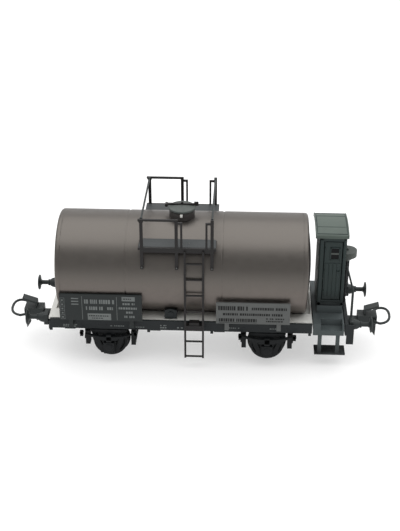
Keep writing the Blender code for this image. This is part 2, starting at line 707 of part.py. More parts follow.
def make_walkways():
    bottom = WALKWAY_TOP - WALKWAY_THICKNESS
    for name, side in SIDES.items():
        edge = span(side, WALKWAY_EDGE - RAIL_THICKNESS, WALKWAY_EDGE)
        shapes = [
            box(
                (WALKWAY_LEFT, WALKWAY_RIGHT),
                span(side, WALKWAY_INNER, WALKWAY_EDGE),
                (bottom, WALKWAY_TOP),
            ),
            box(
                (WALKWAY_LEFT + RAIL_THICKNESS, WALKWAY_RIGHT - RAIL_THICKNESS),
                edge,
                (WALKWAY_TOP - WALKWAY_LIP, WALKWAY_TOP - WALKWAY_THICKNESS / 2),
            ),
        ]
        for place in POST_PLACES:
            half = POST_WIDTH / 2
            shapes.append(box((place - half, place + half), edge, (FOOT_HEIGHT, RAIL_TOP)))
        left, middle, right = POST_PLACES
        grip_left, grip_right = GRIP_PLACES
        top = (RAIL_TOP - RAIL_THICKNESS, RAIL_TOP)
        lower = (top[0] - GRIP_DROP, top[1] - GRIP_DROP)
        shapes.append(box((left - POST_WIDTH, middle), edge, top))
        for x, post in ((grip_left, middle), (grip_right, right)):
            half = RAIL_THICKNESS / 2
            shapes.append(box((x - half, x + half), edge, (bottom, lower[1])))
            shapes.append(box(tuple(sorted((x, post))), edge, lower))
        gusset = [
            (left - POST_WIDTH, RAIL_TOP - RAIL_THICKNESS / 2),
            (left + POST_WIDTH, RAIL_TOP - RAIL_THICKNESS / 2),
            (left, RAIL_TOP - 2.2 * POST_WIDTH),
        ]
        shapes.append(extruded(gusset, "y", edge[0], edge[1]))
        part("walkway_" + name, "walkway_grey", shapes, [tank_space(GAP)])
    reach = WALKWAY_EDGE - RAIL_THICKNESS - GAP
    height = RAIL_TOP - CROSSBAR_RADIUS
    for name, x in (("left", POST_PLACES[0]), ("right", POST_PLACES[2])):
        rail = bar((x, -reach, height), (x, reach, height), CROSSBAR_RADIUS, 12)
        part("crossbar_" + name, "walkway_grey", [rail])


def make_ladders():
    top = WALKWAY_TOP - WALKWAY_THICKNESS
    for name, side in SIDES.items():
        flat = span(side, LADDER_FACE - LADDER_THICKNESS, LADDER_FACE)
        shapes = []
        for x in (LADDER_LEFT, LADDER_RIGHT):
            half = STILE_WIDTH / 2
            shapes.append(box((x - half, x + half), flat, (LADDER_BOTTOM, top)))
        for step in range(RUNG_COUNT):
            z = RUNG_LOWEST + step * RUNG_PITCH
            half = RUNG_HEIGHT / 2
            shapes.append(box((LADDER_LEFT, LADDER_RIGHT), flat, (z - half, z + half)))
        middle = (LADDER_LEFT + LADDER_RIGHT) / 2
        inset = STILE_WIDTH / 4
        block_half = STEP_BLOCK_HALF_WIDTH
        stand_off = span(side, FRAME_HALF_WIDTH + GAP, LADDER_FACE - LADDER_THICKNESS / 2)
        shapes.append(box((LADDER_LEFT + inset, LADDER_RIGHT - inset), stand_off, STAND_OFF_HEIGHTS))
        shapes.append(box((middle - block_half, middle + block_half), stand_off, STEP_BLOCK_HEIGHTS))
        part("ladder_" + name, "walkway_grey", shapes)


def make_signs():
    for name, side in SIDES.items():
        for place, (left, right, top) in SIGNS.items():
            board = span(side, SIGN_FACE - SIGN_THICKNESS, SIGN_FACE)
            foot = span(side, FRAME_HALF_WIDTH + GAP, SIGN_FACE - SIGN_THICKNESS / 2)
            shapes = [box((left, right), board, (SIGN_BOTTOM, top))]
            for x in (left + 2 * SIGN_FOOT, right - 3 * SIGN_FOOT):
                shapes.append(
                    box((x, x + SIGN_FOOT), foot, (SIGN_FOOT_BOTTOM, SIGN_BOTTOM + SIGN_FOOT / 2))
                )
            colour = "frame_slate" if place == "left" else "sign_light"
            part("sign_board_%s_%s" % (place, name), colour, shapes)


def make_wheelsets():
    for place, x in AXLE_PLACES.items():
        centre = (x, 0.0, FLANGE_RADIUS)
        tip = AXLE_HALF_LENGTH
        shaft = turned(
            [
                (-tip, 0.0),
                (-tip + AXLE_POINT, AXLE_RADIUS),
                (tip - AXLE_POINT, AXLE_RADIUS),
                (tip, 0.0),
            ],
            centre,
            (0.0, 1.0, 0.0),
            16,
        )
        part("axle_" + place, "steel", [shaft], origin=centre)
        for name, side in SIDES.items():
            bore = AXLE_RADIUS + PIN_GAP / 2
            back = WHEEL_BACK
            face = WHEEL_BACK + WHEEL_WIDTH
            web = face - WHEEL_WIDTH / 4
            disc = turned(
                [
                    (back, bore),
                    (back, FLANGE_RADIUS - FLANGE_THICKNESS / 4),
                    (back + FLANGE_THICKNESS / 3, FLANGE_RADIUS),
                    (back + FLANGE_THICKNESS, TREAD_RADIUS),
                    (face, TREAD_RADIUS - FLANGE_THICKNESS / 6),
                    (face, TREAD_RADIUS * 0.82),
                    (web, TREAD_RADIUS * 0.76),
                    (web, AXLE_RADIUS * 2.4),
                    (face, AXLE_RADIUS * 2.1),
                    (face, bore),
                ],
                centre,
                (0.0, side, 0.0),
                WHEEL_SIDES,
            )
            part("wheel_%s_%s" % (place, name), "gear_black", [disc], origin=centre)


def make_running_gear():
    guard_top = SOLE_BOTTOM - GAP
    for place, x in AXLE_PLACES.items():
        for name, side in SIDES.items():
            plate = span(side, GUARD_FACE - GUARD_THICKNESS, GUARD_FACE)
            outline = [
                (x - GUARD_TOP_HALF, guard_top),
                (x - GUARD_BOTTOM_HALF, GUARD_BOTTOM),
                (x + GUARD_BOTTOM_HALF, GUARD_BOTTOM),
                (x + GUARD_TOP_HALF, guard_top),
            ]
            shapes = [
                extruded(outline, "y", plate[0], plate[1]),
                box(
                    (x - BOX_HALF_WIDTH, x + BOX_HALF_WIDTH),
                    span(side, GUARD_FACE - GUARD_THICKNESS / 2, GUARD_FACE + BOX_DEPTH),
                    (BOX_BOTTOM, BOX_TOP),
                ),
            ]
            bearing = bar(
                (x, side * (GUARD_FACE - 2 * GUARD_THICKNESS), FLANGE_RADIUS),
                (x, side * (AXLE_HALF_LENGTH + PIN_GAP), FLANGE_RADIUS),
                AXLE_RADIUS + PIN_GAP,
                16,
            )
            cuts = [bearing]
            for way in (-1, 1):
                inner = x + way * (BOX_HALF_WIDTH + GUARD_HOLE_INSET)
                outer = x + way * (GUARD_TOP_HALF - GUARD_LEG_WIDTH)
                high = guard_top - GUARD_HOLE_TOP
                hole = [(inner, FLANGE_RADIUS), (inner, high), (outer, high)]
                through = (side * (GUARD_FACE - 2 * GUARD_THICKNESS), side * (GUARD_FACE + BOX_DEPTH))
                cuts.append(extruded(hole, "y", through[0], through[1]))
            part("axle_guard_%s_%s" % (place, name), "gear_black", shapes, cuts)
            make_leaf_spring("leaf_spring_%s_%s" % (place, name), x, side)


def make_leaf_spring(name, x, side):
    """A pack of plates that sags to the axle box, with a buckle at the middle."""
    top = SOLE_BOTTOM - GAP
    across = span(side, GUARD_FACE + GAP, GUARD_FACE + GAP + SPRING_WIDTH)
    upper = []
    lower = []
    for step in range(SPRING_STEPS + 1):
        share = 2 * step / SPRING_STEPS - 1
        sag = SPRING_SAG * (1 - share**2)
        thick = SPRING_PLATES * (1.6 - 1.1 * abs(share))
        upper.append((x + share * SPRING_HALF_LENGTH, top - sag))
        lower.append((x + share * SPRING_HALF_LENGTH, top - sag - thick))
    leaf = extruded(upper + lower[::-1], "y", across[0], across[1])
    buckle = box(
        (x - BOX_HALF_WIDTH / 2, x + BOX_HALF_WIDTH / 2),
        across,
        (BOX_TOP + GAP, top - SPRING_SAG + BUCKLE_BITE),
    )
    shapes = [leaf, buckle]
    for way in (-1, 1):
        end = x + way * (SPRING_HALF_LENGTH - SPRING_EYE_INSET)
        eye = (end - SPRING_EYE_HALF, end + SPRING_EYE_HALF)
        shapes.append(box(eye, across, (top - SPRING_EYE_HEIGHT, top)))
    part(name, "gear_black", shapes)


def make_brakes():
    """Two beams to a wheelset, each with a shoe and a hanger for either wheel."""
    hanger_top = FRAME_TOP - PLATE_THICKNESS - GAP
    for place, x in AXLE_PLACES.items():
        for end, way in ENDS.items():
            near_wheel = x + way * (FLANGE_RADIUS + SHOE_GAP)
            away = near_wheel + way * SHOE_THICKNESS
            middle = (SHOE_BOTTOM + SHOE_TOP) / 2
            half = BRAKE_BEAM_HEIGHT / 2
            thick = sorted((near_wheel + way * BRAKE_BEAM_NEAR, away + way * BRAKE_BEAM_PROUD))
            reach = SHOE_OUTER - BRAKE_BEAM_INSET
            shapes = [box(thick, (-reach, reach), (middle - half, middle + half))]
            shoe = sorted((near_wheel, away))
            hanger = sorted((away - way * HANGER_WIDTH, away + way * HANGER_PROUD))
            for side in SIDES.values():
                across = span(side, SHOE_INNER, SHOE_OUTER)
                narrow = span(side, SHOE_INNER + HANGER_INSET, SHOE_OUTER - HANGER_INSET)
                shapes.append(box(shoe, across, (SHOE_BOTTOM, SHOE_TOP)))
                shapes.append(box(hanger, narrow, (SHOE_TOP - HANGER_WIDTH, hanger_top)))
            where = "outer" if way * x > 0 else "inner"
            part("brake_beam_%s_%s" % (place, where), "gear_black", shapes)


def make_buffers():
    seat = FRAME_END + GAP
    boss_front = seat + BUFFER_BOSS_LENGTH
    flange_front = boss_front + BUFFER_FLANGE_LENGTH
    head_back = BUFFER_REACH - BUFFER_HEAD_THICKNESS
    for end, way in ENDS.items():
        for name, side in SIDES.items():
            y = side * BUFFER_SPREAD / 2
            half = BUFFER_BOSS / 2
            boss = box(
                tuple(sorted((way * seat, way * boss_front))),
                (y - half, y + half),
                (BUFFER_HEIGHT - half, BUFFER_HEIGHT + half),
            )
            stem = turned(
                [
                    (boss_front - BUFFER_BOSS_LENGTH / 2, 0.0),
                    (boss_front - BUFFER_BOSS_LENGTH / 2, BUFFER_FLANGE_RADIUS),
                    (boss_front + BUFFER_FLANGE_LENGTH / 2, BUFFER_FLANGE_RADIUS),
                    (flange_front, BUFFER_SHANK_RADIUS * 1.25),
                    (flange_front + BUFFER_FLANGE_LENGTH / 2, BUFFER_SHANK_RADIUS),
                    (head_back, BUFFER_SHANK_RADIUS),
                    (head_back + BUFFER_HEAD_THICKNESS / 3, BUFFER_HEAD_RADIUS),
                    (BUFFER_REACH - BUFFER_HEAD_THICKNESS / 3, BUFFER_HEAD_RADIUS),
                    (BUFFER_REACH, BUFFER_HEAD_RADIUS * 0.85),
                    (BUFFER_REACH, 0.0),
                ],
                (0.0, y, BUFFER_HEIGHT),
                (way, 0.0, 0.0),
                24,
            )
            part("buffer_%s_%s" % (end, name), "gear_black", [boss, stem])


def make_couplers():
    for end, way in ENDS.items():
        make_drawbar("drawbar_" + end, way)
        make_hoop("coupler_hoop_" + end, way)
        pin_top = SILL_TOP - GAP
        head_top = DRAWBAR_BOTTOM - PIN_GAP
        pin = turned(
            [
                (head_top - PIVOT_HEAD_THICKNESS, 0.0),
                (head_top - PIVOT_HEAD_THICKNESS, PIVOT_HEAD_RADIUS),
                (head_top, PIVOT_HEAD_RADIUS),
                (head_top, PIVOT_RADIUS),
                (pin_top, PIVOT_RADIUS),
                (pin_top, 0.0),
            ],
            (way * PIVOT_PLACE, 0.0, 0.0),
            (0.0, 0.0, 1.0),
            18,
        )
        part("coupler_pivot_" + end, "steel", [pin])
        anchor = PIVOT_PLACE - EYE_RADIUS - CENTRING_LENGTH
        part(
            "centring_spring_" + end,
            "steel",
            [
                box(
                    tuple(sorted((way * (anchor + PIN_GAP), way * (anchor + CENTRING_LENGTH - 2 * GAP)))),
                    (-CENTRING_THICKNESS / 2, CENTRING_THICKNESS / 2),
                    (DRAWBAR_BOTTOM + PIN_GAP, SILL_BOTTOM - PIN_GAP),
                )
            ],
        )


def make_drawbar(name, way):
    def lengths(first, last):
        return tuple(sorted((way * first, way * last)))

    shapes = [
        box(
            lengths(HEAD_BACK, HEAD_FRONT),
            (-HEAD_HALF_WIDTH, HEAD_HALF_WIDTH),
            (DRAWBAR_BOTTOM, HEAD_TOP),
        ),
        box(
            lengths(PIVOT_PLACE, HEAD_BACK + DRAWBAR_HALF_WIDTH),
            (-DRAWBAR_HALF_WIDTH, DRAWBAR_HALF_WIDTH),
            (DRAWBAR_BOTTOM, DRAWBAR_TOP),
        ),
        bar(
            (way * PIVOT_PLACE, 0.0, DRAWBAR_BOTTOM),
            (way * PIVOT_PLACE, 0.0, DRAWBAR_TOP),
            EYE_RADIUS,
            24,
        ),
        extruded(
            [
                (way * HOOK_RISER, HEAD_TOP - HOOK_THICKNESS),
                (way * HOOK_RISER, HOOK_LOW),
                (way * HOOK_TIP, HOOK_HIGH),
                (way * HOOK_TIP, HOOK_HIGH - HOOK_THICKNESS),
                (way * (HOOK_RISER + HOOK_THICKNESS), HOOK_LOW - HOOK_THICKNESS),
                (way * (HOOK_RISER + HOOK_THICKNESS), HEAD_TOP - HOOK_THICKNESS),
            ],
            "y",
            -HOOK_HALF_WIDTH,
            HOOK_HALF_WIDTH,
        ),
    ]
    hinge = bar(
        (way * HOOP_HINGE, -2 * HEAD_HALF_WIDTH, HOOP_HINGE_HEIGHT),
        (way * HOOP_HINGE, 2 * HEAD_HALF_WIDTH, HOOP_HINGE_HEIGHT),
        HOOP_WIRE + PIN_GAP,
        16,
    )
    slot = TAB_HALF_THICKNESS + PIN_GAP
    tab_slot = box(
        lengths(HOOP_HINGE - 1.3 * TAB_WIDTH, HEAD_FRONT + TAB_WIDTH),
        (-slot, slot),
        (DRAWBAR_BOTTOM - GAP, HOOP_HINGE_HEIGHT + TAB_WIDTH / 2),
    )
    eye = bar(
        (way * PIVOT_PLACE, 0.0, DRAWBAR_BOTTOM - GAP),
        (way * PIVOT_PLACE, 0.0, DRAWBAR_TOP + GAP),
        PIVOT_RADIUS + PIN_GAP,
        18,
    )
    place = (way * PIVOT_PLACE, 0.0, (DRAWBAR_BOTTOM + DRAWBAR_TOP) / 2)
    part(name, "gear_black", shapes, [hinge, tab_slot, eye], origin=place)


def make_hoop(name, way):
    """A wire loop whose cross wire is its hinge pin, with a tab that hangs from it.

    The tab's sloping shoulder clears the top of the head's slot as the loop lifts.
    """
    spine = [Vector((way * HOOP_HINGE, -HOOP_ROOT_HALF_WIDTH, HOOP_HINGE_HEIGHT))]
    length = HOOP_REACH - HOOP_WIRE - HOOP_HINGE
    widest = HOOP_HALF_WIDTH - HOOP_WIRE / 2
    for step in range(HOOP_STEPS + 1):
        angle = math.pi * (step / HOOP_STEPS - 0.5)
        out = length * (0.35 + 0.65 * abs(math.cos(angle)) ** 0.75)
        y = widest * math.copysign(abs(math.sin(angle)) ** 0.85, math.sin(angle))
        z = HOOP_HINGE_HEIGHT + HOOP_RISE * out / length
        spine.append(Vector((way * (HOOP_HINGE + out), y, z)))
    spine.append(Vector((way * HOOP_HINGE, HOOP_ROOT_HALF_WIDTH, HOOP_HINGE_HEIGHT)))

    def wire(bm):
        rings = []
        sides = HOOP_WIRE_SIDES
        count = len(spine)
        for number, point in enumerate(spine):
            ahead = (spine[(number + 1) % count] - point).normalized()
            behind = (point - spine[number - 1]).normalized()
            along = (ahead + behind).normalized()
            across = along.cross(Vector((0.0, 0.0, 1.0))).normalized()
            up = across.cross(along).normalized()
            widen = 1.0 / max(0.5, along.dot(ahead))
            ring = []
            for corner in range(sides):
                turn = 2 * math.pi * (corner + 0.5) / sides
                offset = across * math.cos(turn) * widen + up * math.sin(turn)
                ring.append(bm.verts.new(point + offset * HOOP_WIRE))
            rings.append(ring)
        for number, ring in enumerate(rings):
            following = rings[(number + 1) % count]
            for corner in range(sides):
                other = (corner + 1) % sides
                bm.faces.new((ring[corner], ring[other], following[other], following[corner]))

    top = HOOP_HINGE_HEIGHT + HOOP_WIRE / 2
    back = HOOP_HINGE - TAB_WIDTH * 0.35
    front = HOOP_HINGE + TAB_WIDTH * 0.75
    tab = extruded(
        [
            (way * back, top),
            (way * (front - TAB_SHOULDER), top),
            (way * front, top - TAB_SHOULDER),
            (way * front, TAB_TIP + 1.5 * TAB_WIDTH),
            (way * (front - 0.1 * TAB_WIDTH), TAB_TIP),
            (way * back, TAB_TIP + 1.6 * TAB_WIDTH),
        ],
        "y",
        -TAB_HALF_THICKNESS,
        TAB_HALF_THICKNESS,
    )
    place = (way * HOOP_HINGE, 0.0, HOOP_HINGE_HEIGHT)
    part(name, "gear_black", [wire, tab], origin=place)


def make_platform():
    right = FRAME_END - BEAM_THICKNESS - GAP
    across = (-FRAME_HALF_WIDTH, FRAME_HALF_WIDTH)
    shapes = [
        box((PLATFORM_LEFT, right), across, (PLATFORM_BOTTOM, PLATFORM_TOP)),
        box(
            (CAB_LEFT, CAB_RIGHT),
            (-CAB_HALF_WIDTH, CAB_HALF_WIDTH),
            (PLATFORM_TOP - GAP, PLINTH_TOP),
        ),
    ]
    cuts = []
    for side in SIDES.values():
        rail = span(side, FRAME_HALF_WIDTH - PLATFORM_RAIL, FRAME_HALF_WIDTH)
        shapes.append(box((PLATFORM_LEFT, right), rail, (PLATFORM_RAIL_BOTTOM, PLATFORM_BOTTOM + GAP)))
        cuts.append(
            box(
                (RECESS_LEFT, right - PLATFORM_RAIL / 2),
                span(side, RECESS_EDGE, FRAME_HALF_WIDTH + PLATFORM_RAIL),
                (RECESS_FLOOR, PLATFORM_TOP + GAP),
            )
        )
    for side in SIDES.values():
        shapes.append(
            box(
                (STEP_LEFT, STEP_RIGHT),
                span(side, STEP_INNER, STEP_OUTER),
                (STEP_TOP - STEP_THICKNESS, STEP_TOP),
            )
        )
        for place in STEP_HANGER_PLACES:
            half = STEP_HANGER_WIDTH / 2
            shapes.append(
                box(
                    (place - half, place + half),
                    span(side, *STEP_HANGER_SIDES),
                    (STEP_TOP - STEP_THICKNESS / 2, PLATFORM_RAIL_BOTTOM + GAP),
                )
            )
    part("cab_platform", "frame_slate", shapes, cuts)


def make_cab():
    floor = PLINTH_TOP + GAP
    inner = CAB_HALF_WIDTH - CAB_WALL
    walls = box((CAB_LEFT, CAB_RIGHT), (-CAB_HALF_WIDTH, CAB_HALF_WIDTH), (floor, CAB_TOP))
    room = box((CAB_LEFT + CAB_WALL, CAB_RIGHT - CAB_WALL), (-inner, inner), (floor - MM, CAB_TOP + MM))
    doorway = box(
        (DOOR_LEFT, DOOR_RIGHT),
        (-2 * CAB_HALF_WIDTH, 2 * CAB_HALF_WIDTH),
        (DOOR_SILL, DOOR_TOP),
    )
    part("cab_body", "cab_green", [walls], [room, doorway])
    door_back = CAB_HALF_WIDTH - CAB_WALL + PIN_GAP
    for name, side in SIDES.items():
        leaf = box(
            (DOOR_LEFT + PIN_GAP, DOOR_RIGHT - PIN_GAP),
            span(side, door_back, door_back + DOOR_THICKNESS),
            (DOOR_SILL + PIN_GAP, DOOR_TOP - PIN_GAP),
        )
        cuts = []
        for pane in range(2):
            low = WINDOW_BOTTOM + pane * (WINDOW_PANE_HEIGHT + WINDOW_BAR)
            cuts.append(
                box(
                    (WINDOW_LEFT, WINDOW_RIGHT),
                    (-2 * CAB_HALF_WIDTH, 2 * CAB_HALF_WIDTH),
                    (low, low + WINDOW_PANE_HEIGHT),
                )
            )
        knob_x = DOOR_RIGHT - KNOB_INSET
        knob = bar(
            (knob_x, side * (CAB_HALF_WIDTH - CAB_WALL / 2), KNOB_HEIGHT),
            (knob_x, side * (CAB_HALF_WIDTH + KNOB_PROUD), KNOB_HEIGHT),
            KNOB_RADIUS,
            10,
        )
        part("cab_door_" + name, "cab_green", [leaf, knob], cuts)


def make_roof():
    """An arched roof, with its edges turned down past the walls."""
    upper = []
    lower = []
    for step in range(ROOF_STEPS + 1):
        share = 2 * step / ROOF_STEPS - 1
        rise = ROOF_RISE * (1 - share**2)
        upper.append((share * ROOF_HALF_WIDTH, ROOF_EAVE + rise + ROOF_THICKNESS))
        lower.append((share * ROOF_HALF_WIDTH, ROOF_EAVE + rise))
    sheet = extruded(upper + lower[::-1], "x", ROOF_LEFT, ROOF_RIGHT)
    shapes = [sheet]
    for side in SIDES.values():
        shapes.append(
            box(
                (ROOF_LEFT, ROOF_RIGHT),
                span(side, GUTTER_INNER, GUTTER_OUTER),
                (ROOF_EAVE - GUTTER_DROP, ROOF_EAVE + ROOF_THICKNESS * 0.8),
            )
        )
    part("cab_roof", "roof_green", shapes)


def make_brake_stand():
    wall = CAB_RIGHT + GAP
    centre = HOUSING_REACH - HOUSING_RADIUS
    outline = [(wall, HOUSING_RADIUS), (wall, -HOUSING_RADIUS)]
    for step in range(13):
        angle = math.pi * (step / 12 - 0.5)
        outline.append((centre + HOUSING_RADIUS * math.cos(angle), HOUSING_RADIUS * math.sin(angle)))
    drum = extruded(outline, "z", HOUSING_BOTTOM, HOUSING_TOP)
    cone = turned(
        [
            (HOUSING_CONE_TIP, 0.0),
            (HOUSING_CONE_TIP, HOUSING_CONE_RADIUS),
            (HOUSING_BOTTOM, HOUSING_RADIUS * 0.92),
            (HOUSING_BOTTOM + GAP, HOUSING_RADIUS * 0.92),
            (HOUSING_BOTTOM + GAP, 0.0),
        ],
        (centre, 0.0, 0.0),
        (0.0, 0.0, 1.0),
        20,
    )
    behind_wall = box(
        (CAB_LEFT, wall),
        (-CAB_HALF_WIDTH, CAB_HALF_WIDTH),
        (HOUSING_CONE_TIP - MM, HOUSING_TOP + MM),
    )
    part("crank_housing", "housing_grey", [drum, cone], [behind_wall])
    foot = PLATFORM_TOP + GAP
    profile = [(foot, 0.0), (foot, SPINDLE_RADIUS)]
    half = COLLAR_HALF_HEIGHT
    for collar in SPINDLE_COLLARS:
        profile.append((collar - half - COLLAR_EDGE, SPINDLE_RADIUS))
        profile.append((collar - half, SPINDLE_COLLAR_RADIUS))
        profile.append((collar + half, SPINDLE_COLLAR_RADIUS))
        profile.append((collar + half + COLLAR_EDGE, SPINDLE_RADIUS))
    tip = HOUSING_CONE_TIP - GAP
    profile += [(tip, SPINDLE_RADIUS), (tip, 0.0)]
    part("brake_spindle", "gear_black", [turned(profile, (centre, 0.0, 0.0), (0.0, 0.0, 1.0), 12)])
    for name, side in SIDES.items():
        x = FRAME_END + GAP + HANDRAIL_FOOT
        y = side * (BUFFER_SPREAD / 2 - BUFFER_BOSS / 2 + HANDRAIL_INSET)
        low = (x, y, BUFFER_HEIGHT + BUFFER_BOSS / 2 + GAP)
        bend = (x, y, HANDRAIL_BEND)
        beside = side * (CAB_HALF_WIDTH - HANDRAIL_RADIUS)
        high = (CAB_RIGHT + GAP + HANDRAIL_RADIUS, beside, HANDRAIL_TOP)
        ball = turned(
            [
                (-HANDRAIL_RADIUS, 0.0),
                (-HANDRAIL_RADIUS * 0.7, HANDRAIL_RADIUS * 0.75),
                (0.0, HANDRAIL_RADIUS * 1.05),
                (HANDRAIL_RADIUS * 0.7, HANDRAIL_RADIUS * 0.75),
                (HANDRAIL_RADIUS, 0.0),
            ],
            bend,
            (0.0, 0.0, 1.0),
            10,
        )
        slant = bar(bend, high, HANDRAIL_RADIUS * 0.8, 10)
        shapes = [bar(low, bend, HANDRAIL_RADIUS, 10), slant, ball]
        part("handrail_" + name, "frame_slate", shapes)


def make_valve():
    low = PLATE_TOP + GAP
    middle = (VALVE_LEFT + VALVE_RIGHT) / 2
    body = extruded(
        [
            (VALVE_LEFT, low),
            (VALVE_LEFT, VALVE_TOP),
            (middle, VALVE_PEAK),
            (VALVE_RIGHT, VALVE_TOP),
            (VALVE_RIGHT, low),
        ],
        "y",
        -VALVE_OUTER,
        -VALVE_INNER,
    )
    part("outlet_valve", "walkway_grey", [body], [tank_space(GAP)])


def make_screws():
    for name, x in SCREW_PLACES.items():
        head_top = SILL_BOTTOM - PIN_GAP
        tip = TANK_HEIGHT - TANK_RADIUS - 2 * GAP
        screw = turned(
            [
                (head_top - SCREW_HEAD_THICKNESS, 0.0),
                (head_top - SCREW_HEAD_THICKNESS, SCREW_HEAD_RADIUS * 0.85),
                (head_top, SCREW_HEAD_RADIUS),
                (head_top, SCREW_RADIUS),
                (tip, SCREW_RADIUS),
                (tip, 0.0),
            ],
            (x, 0.0, 0.0),
            (0.0, 0.0, 1.0),
            16,
        )
        part("frame_screw_" + name, "steel", [screw])


def main():
    clear_scene()
    make_underframe()
    make_base_plate()
    make_tank()
    make_ballast()
    make_dome()
    make_walkways()
    make_ladders()
    make_signs()
    make_wheelsets()
    make_running_gear()
    make_brakes()
    make_buffers()
    make_couplers()
    make_platform()
    make_cab()
    make_roof()
    make_brake_stand()
    make_valve()
    make_screws()


main()
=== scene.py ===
"""Looks of the model tank wagon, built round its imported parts.

Metres, +Z up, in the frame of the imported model: near is -Y, and the cab stands at +X.
Most pieces stand for one CAD part and take their place from that part's box. The rest are
small details set on those parts. Places given in MM are in the wagon's own frame.
"""

import math
import random

import bpy
from mathutils import Matrix, Vector


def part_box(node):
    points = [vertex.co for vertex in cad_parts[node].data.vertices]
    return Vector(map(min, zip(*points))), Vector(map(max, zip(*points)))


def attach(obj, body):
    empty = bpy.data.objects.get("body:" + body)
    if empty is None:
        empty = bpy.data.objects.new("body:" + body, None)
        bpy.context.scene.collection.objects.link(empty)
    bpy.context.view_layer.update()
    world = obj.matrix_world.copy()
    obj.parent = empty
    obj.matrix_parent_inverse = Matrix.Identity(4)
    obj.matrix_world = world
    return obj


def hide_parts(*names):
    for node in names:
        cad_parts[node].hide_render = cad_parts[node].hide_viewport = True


MM = 0.001
SIDES = {"near": -1, "far": 1}
ENDS = {"left": -1, "right": 1}
SOFT_EDGE = 0.07 * MM
SMOOTH_ANGLE = 50

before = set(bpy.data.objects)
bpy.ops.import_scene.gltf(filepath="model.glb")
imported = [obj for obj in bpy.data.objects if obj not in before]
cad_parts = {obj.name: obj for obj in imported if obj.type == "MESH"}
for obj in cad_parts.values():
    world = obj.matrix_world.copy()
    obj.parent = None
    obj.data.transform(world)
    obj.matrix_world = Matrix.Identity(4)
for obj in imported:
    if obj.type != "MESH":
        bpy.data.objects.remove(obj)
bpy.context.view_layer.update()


# Handling: selection, joining and finishing.


def deselect_all():
    if bpy.context.mode != "OBJECT":
        bpy.ops.object.mode_set(mode="OBJECT")
    bpy.ops.object.select_all(action="DESELECT")


def pick(*pieces):
    deselect_all()
    for piece in pieces:
        piece.select_set(True)
    bpy.context.view_layer.objects.active = pieces[0]


def settle(piece):
    """Puts a piece's place, turn and scale into its mesh."""
    pick(piece)
    bpy.ops.object.transform_apply(location=True, rotation=True, scale=True)
    return piece


def apply_modifier(piece, kind, **settings):
    pick(piece)
    modifier = piece.modifiers.new(kind.title(), kind)
    for name, value in settings.items():
        setattr(modifier, name, value)
    bpy.ops.object.modifier_apply(modifier=modifier.name)
    return piece


def clean_faces(piece):
    """Merges doubled points and turns every face outwards."""
    pick(piece)
    bpy.ops.object.mode_set(mode="EDIT")
    bpy.ops.mesh.select_all(action="SELECT")
    bpy.ops.mesh.remove_doubles(threshold=1e-7)
    bpy.ops.mesh.normals_make_consistent(inside=False)
    bpy.ops.object.mode_set(mode="OBJECT")
    return piece


def soften(piece, width=SOFT_EDGE, segments=2):
    return apply_modifier(
        piece,
        "BEVEL",
        width=width,
        segments=segments,
        limit_method="ANGLE",
        angle_limit=math.radians(40),
    )


def duplicate(piece, offset=(0.0, 0.0, 0.0)):
    """A copy with its own mesh, moved by an offset."""
    twin = piece.copy()
    twin.data = piece.data.copy()
    twin.data.transform(Matrix.Translation(offset))
    bpy.context.scene.collection.objects.link(twin)
    return twin


def join(shapes):
    pick(*shapes)
    if len(shapes) > 1:
        bpy.ops.object.join()
    return bpy.context.view_layer.objects.active


def fit(name, shapes, finish, body="wagon", stands_for=(), smooth=SMOOTH_ANGLE):
    """Joins shapes into one named piece with its finish, and sends it with its body."""
    piece = join(list(shapes))
    piece.name = name
    piece.data.name = name
    piece.data.materials.clear()
    piece.data.materials.append(FINISHES[finish])
    for polygon in piece.data.polygons:
        polygon.material_index = 0
    pick(piece)
    bpy.ops.object.shade_smooth_by_angle(angle=math.radians(smooth))
    apply_modifier(piece, "WEIGHTED_NORMAL", keep_sharp=True)
    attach(piece, body)
    if stands_for:
        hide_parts(*stands_for)
    return piece


# Shapes: each starts as a primitive and is worked on in edit mode.


def block(x, y, z):
    """A cube between two values along each axis."""
    deselect_all()
    middle = [sum(pair) / 2 for pair in (x, y, z)]
    bpy.ops.mesh.primitive_cube_add(size=1.0, location=middle)
    piece = bpy.context.object
    piece.scale = [abs(pair[1] - pair[0]) for pair in (x, y, z)]
    return settle(piece)


def soft_block(x, y, z, width=SOFT_EDGE):
    return soften(block(x, y, z), width)


def grown_round(sections, place, axis, sides=32):
    """A disc extruded and scaled along an axis, through (distance, radius) sections."""
    deselect_all()
    along, radius = sections[0]
    bpy.ops.mesh.primitive_circle_add(
        vertices=sides, radius=radius, fill_type="NGON", location=(0.0, 0.0, along)
    )
    piece = bpy.context.object
    settle(piece)
    bpy.ops.object.mode_set(mode="EDIT")
    bpy.ops.mesh.select_all(action="SELECT")
    for next_along, next_radius in sections[1:]:
        rise = (0.0, 0.0, next_along - along)
        bpy.ops.mesh.extrude_region_move(TRANSFORM_OT_translate={"value": rise})
        ratio = next_radius / radius
        bpy.ops.transform.resize(value=(ratio, ratio, 1.0), center_override=(0.0, 0.0, next_along))
        along, radius = next_along, next_radius
    bpy.ops.object.mode_set(mode="OBJECT")
    clean_faces(piece)
    turn = Vector(axis).to_track_quat("Z", "Y").to_matrix().to_4x4()
    piece.data.transform(Matrix.Translation(place) @ turn)
    return piece


def wire(points, radius):
    """A round wire along a line of points."""
    curve = bpy.data.curves.new("wire", "CURVE")
    curve.dimensions = "3D"
    curve.bevel_depth = radius
    curve.bevel_resolution = 3
    curve.use_fill_caps = True
    spline = curve.splines.new("POLY")
    spline.points.add(len(points) - 1)
    for slot, point in zip(spline.points, points):
        slot.co = (*point, 1.0)
    piece = bpy.data.objects.new("wire", curve)
    bpy.context.scene.collection.objects.link(piece)
    pick(piece)
    bpy.ops.object.convert(target="MESH")
    return clean_faces(bpy.context.object)


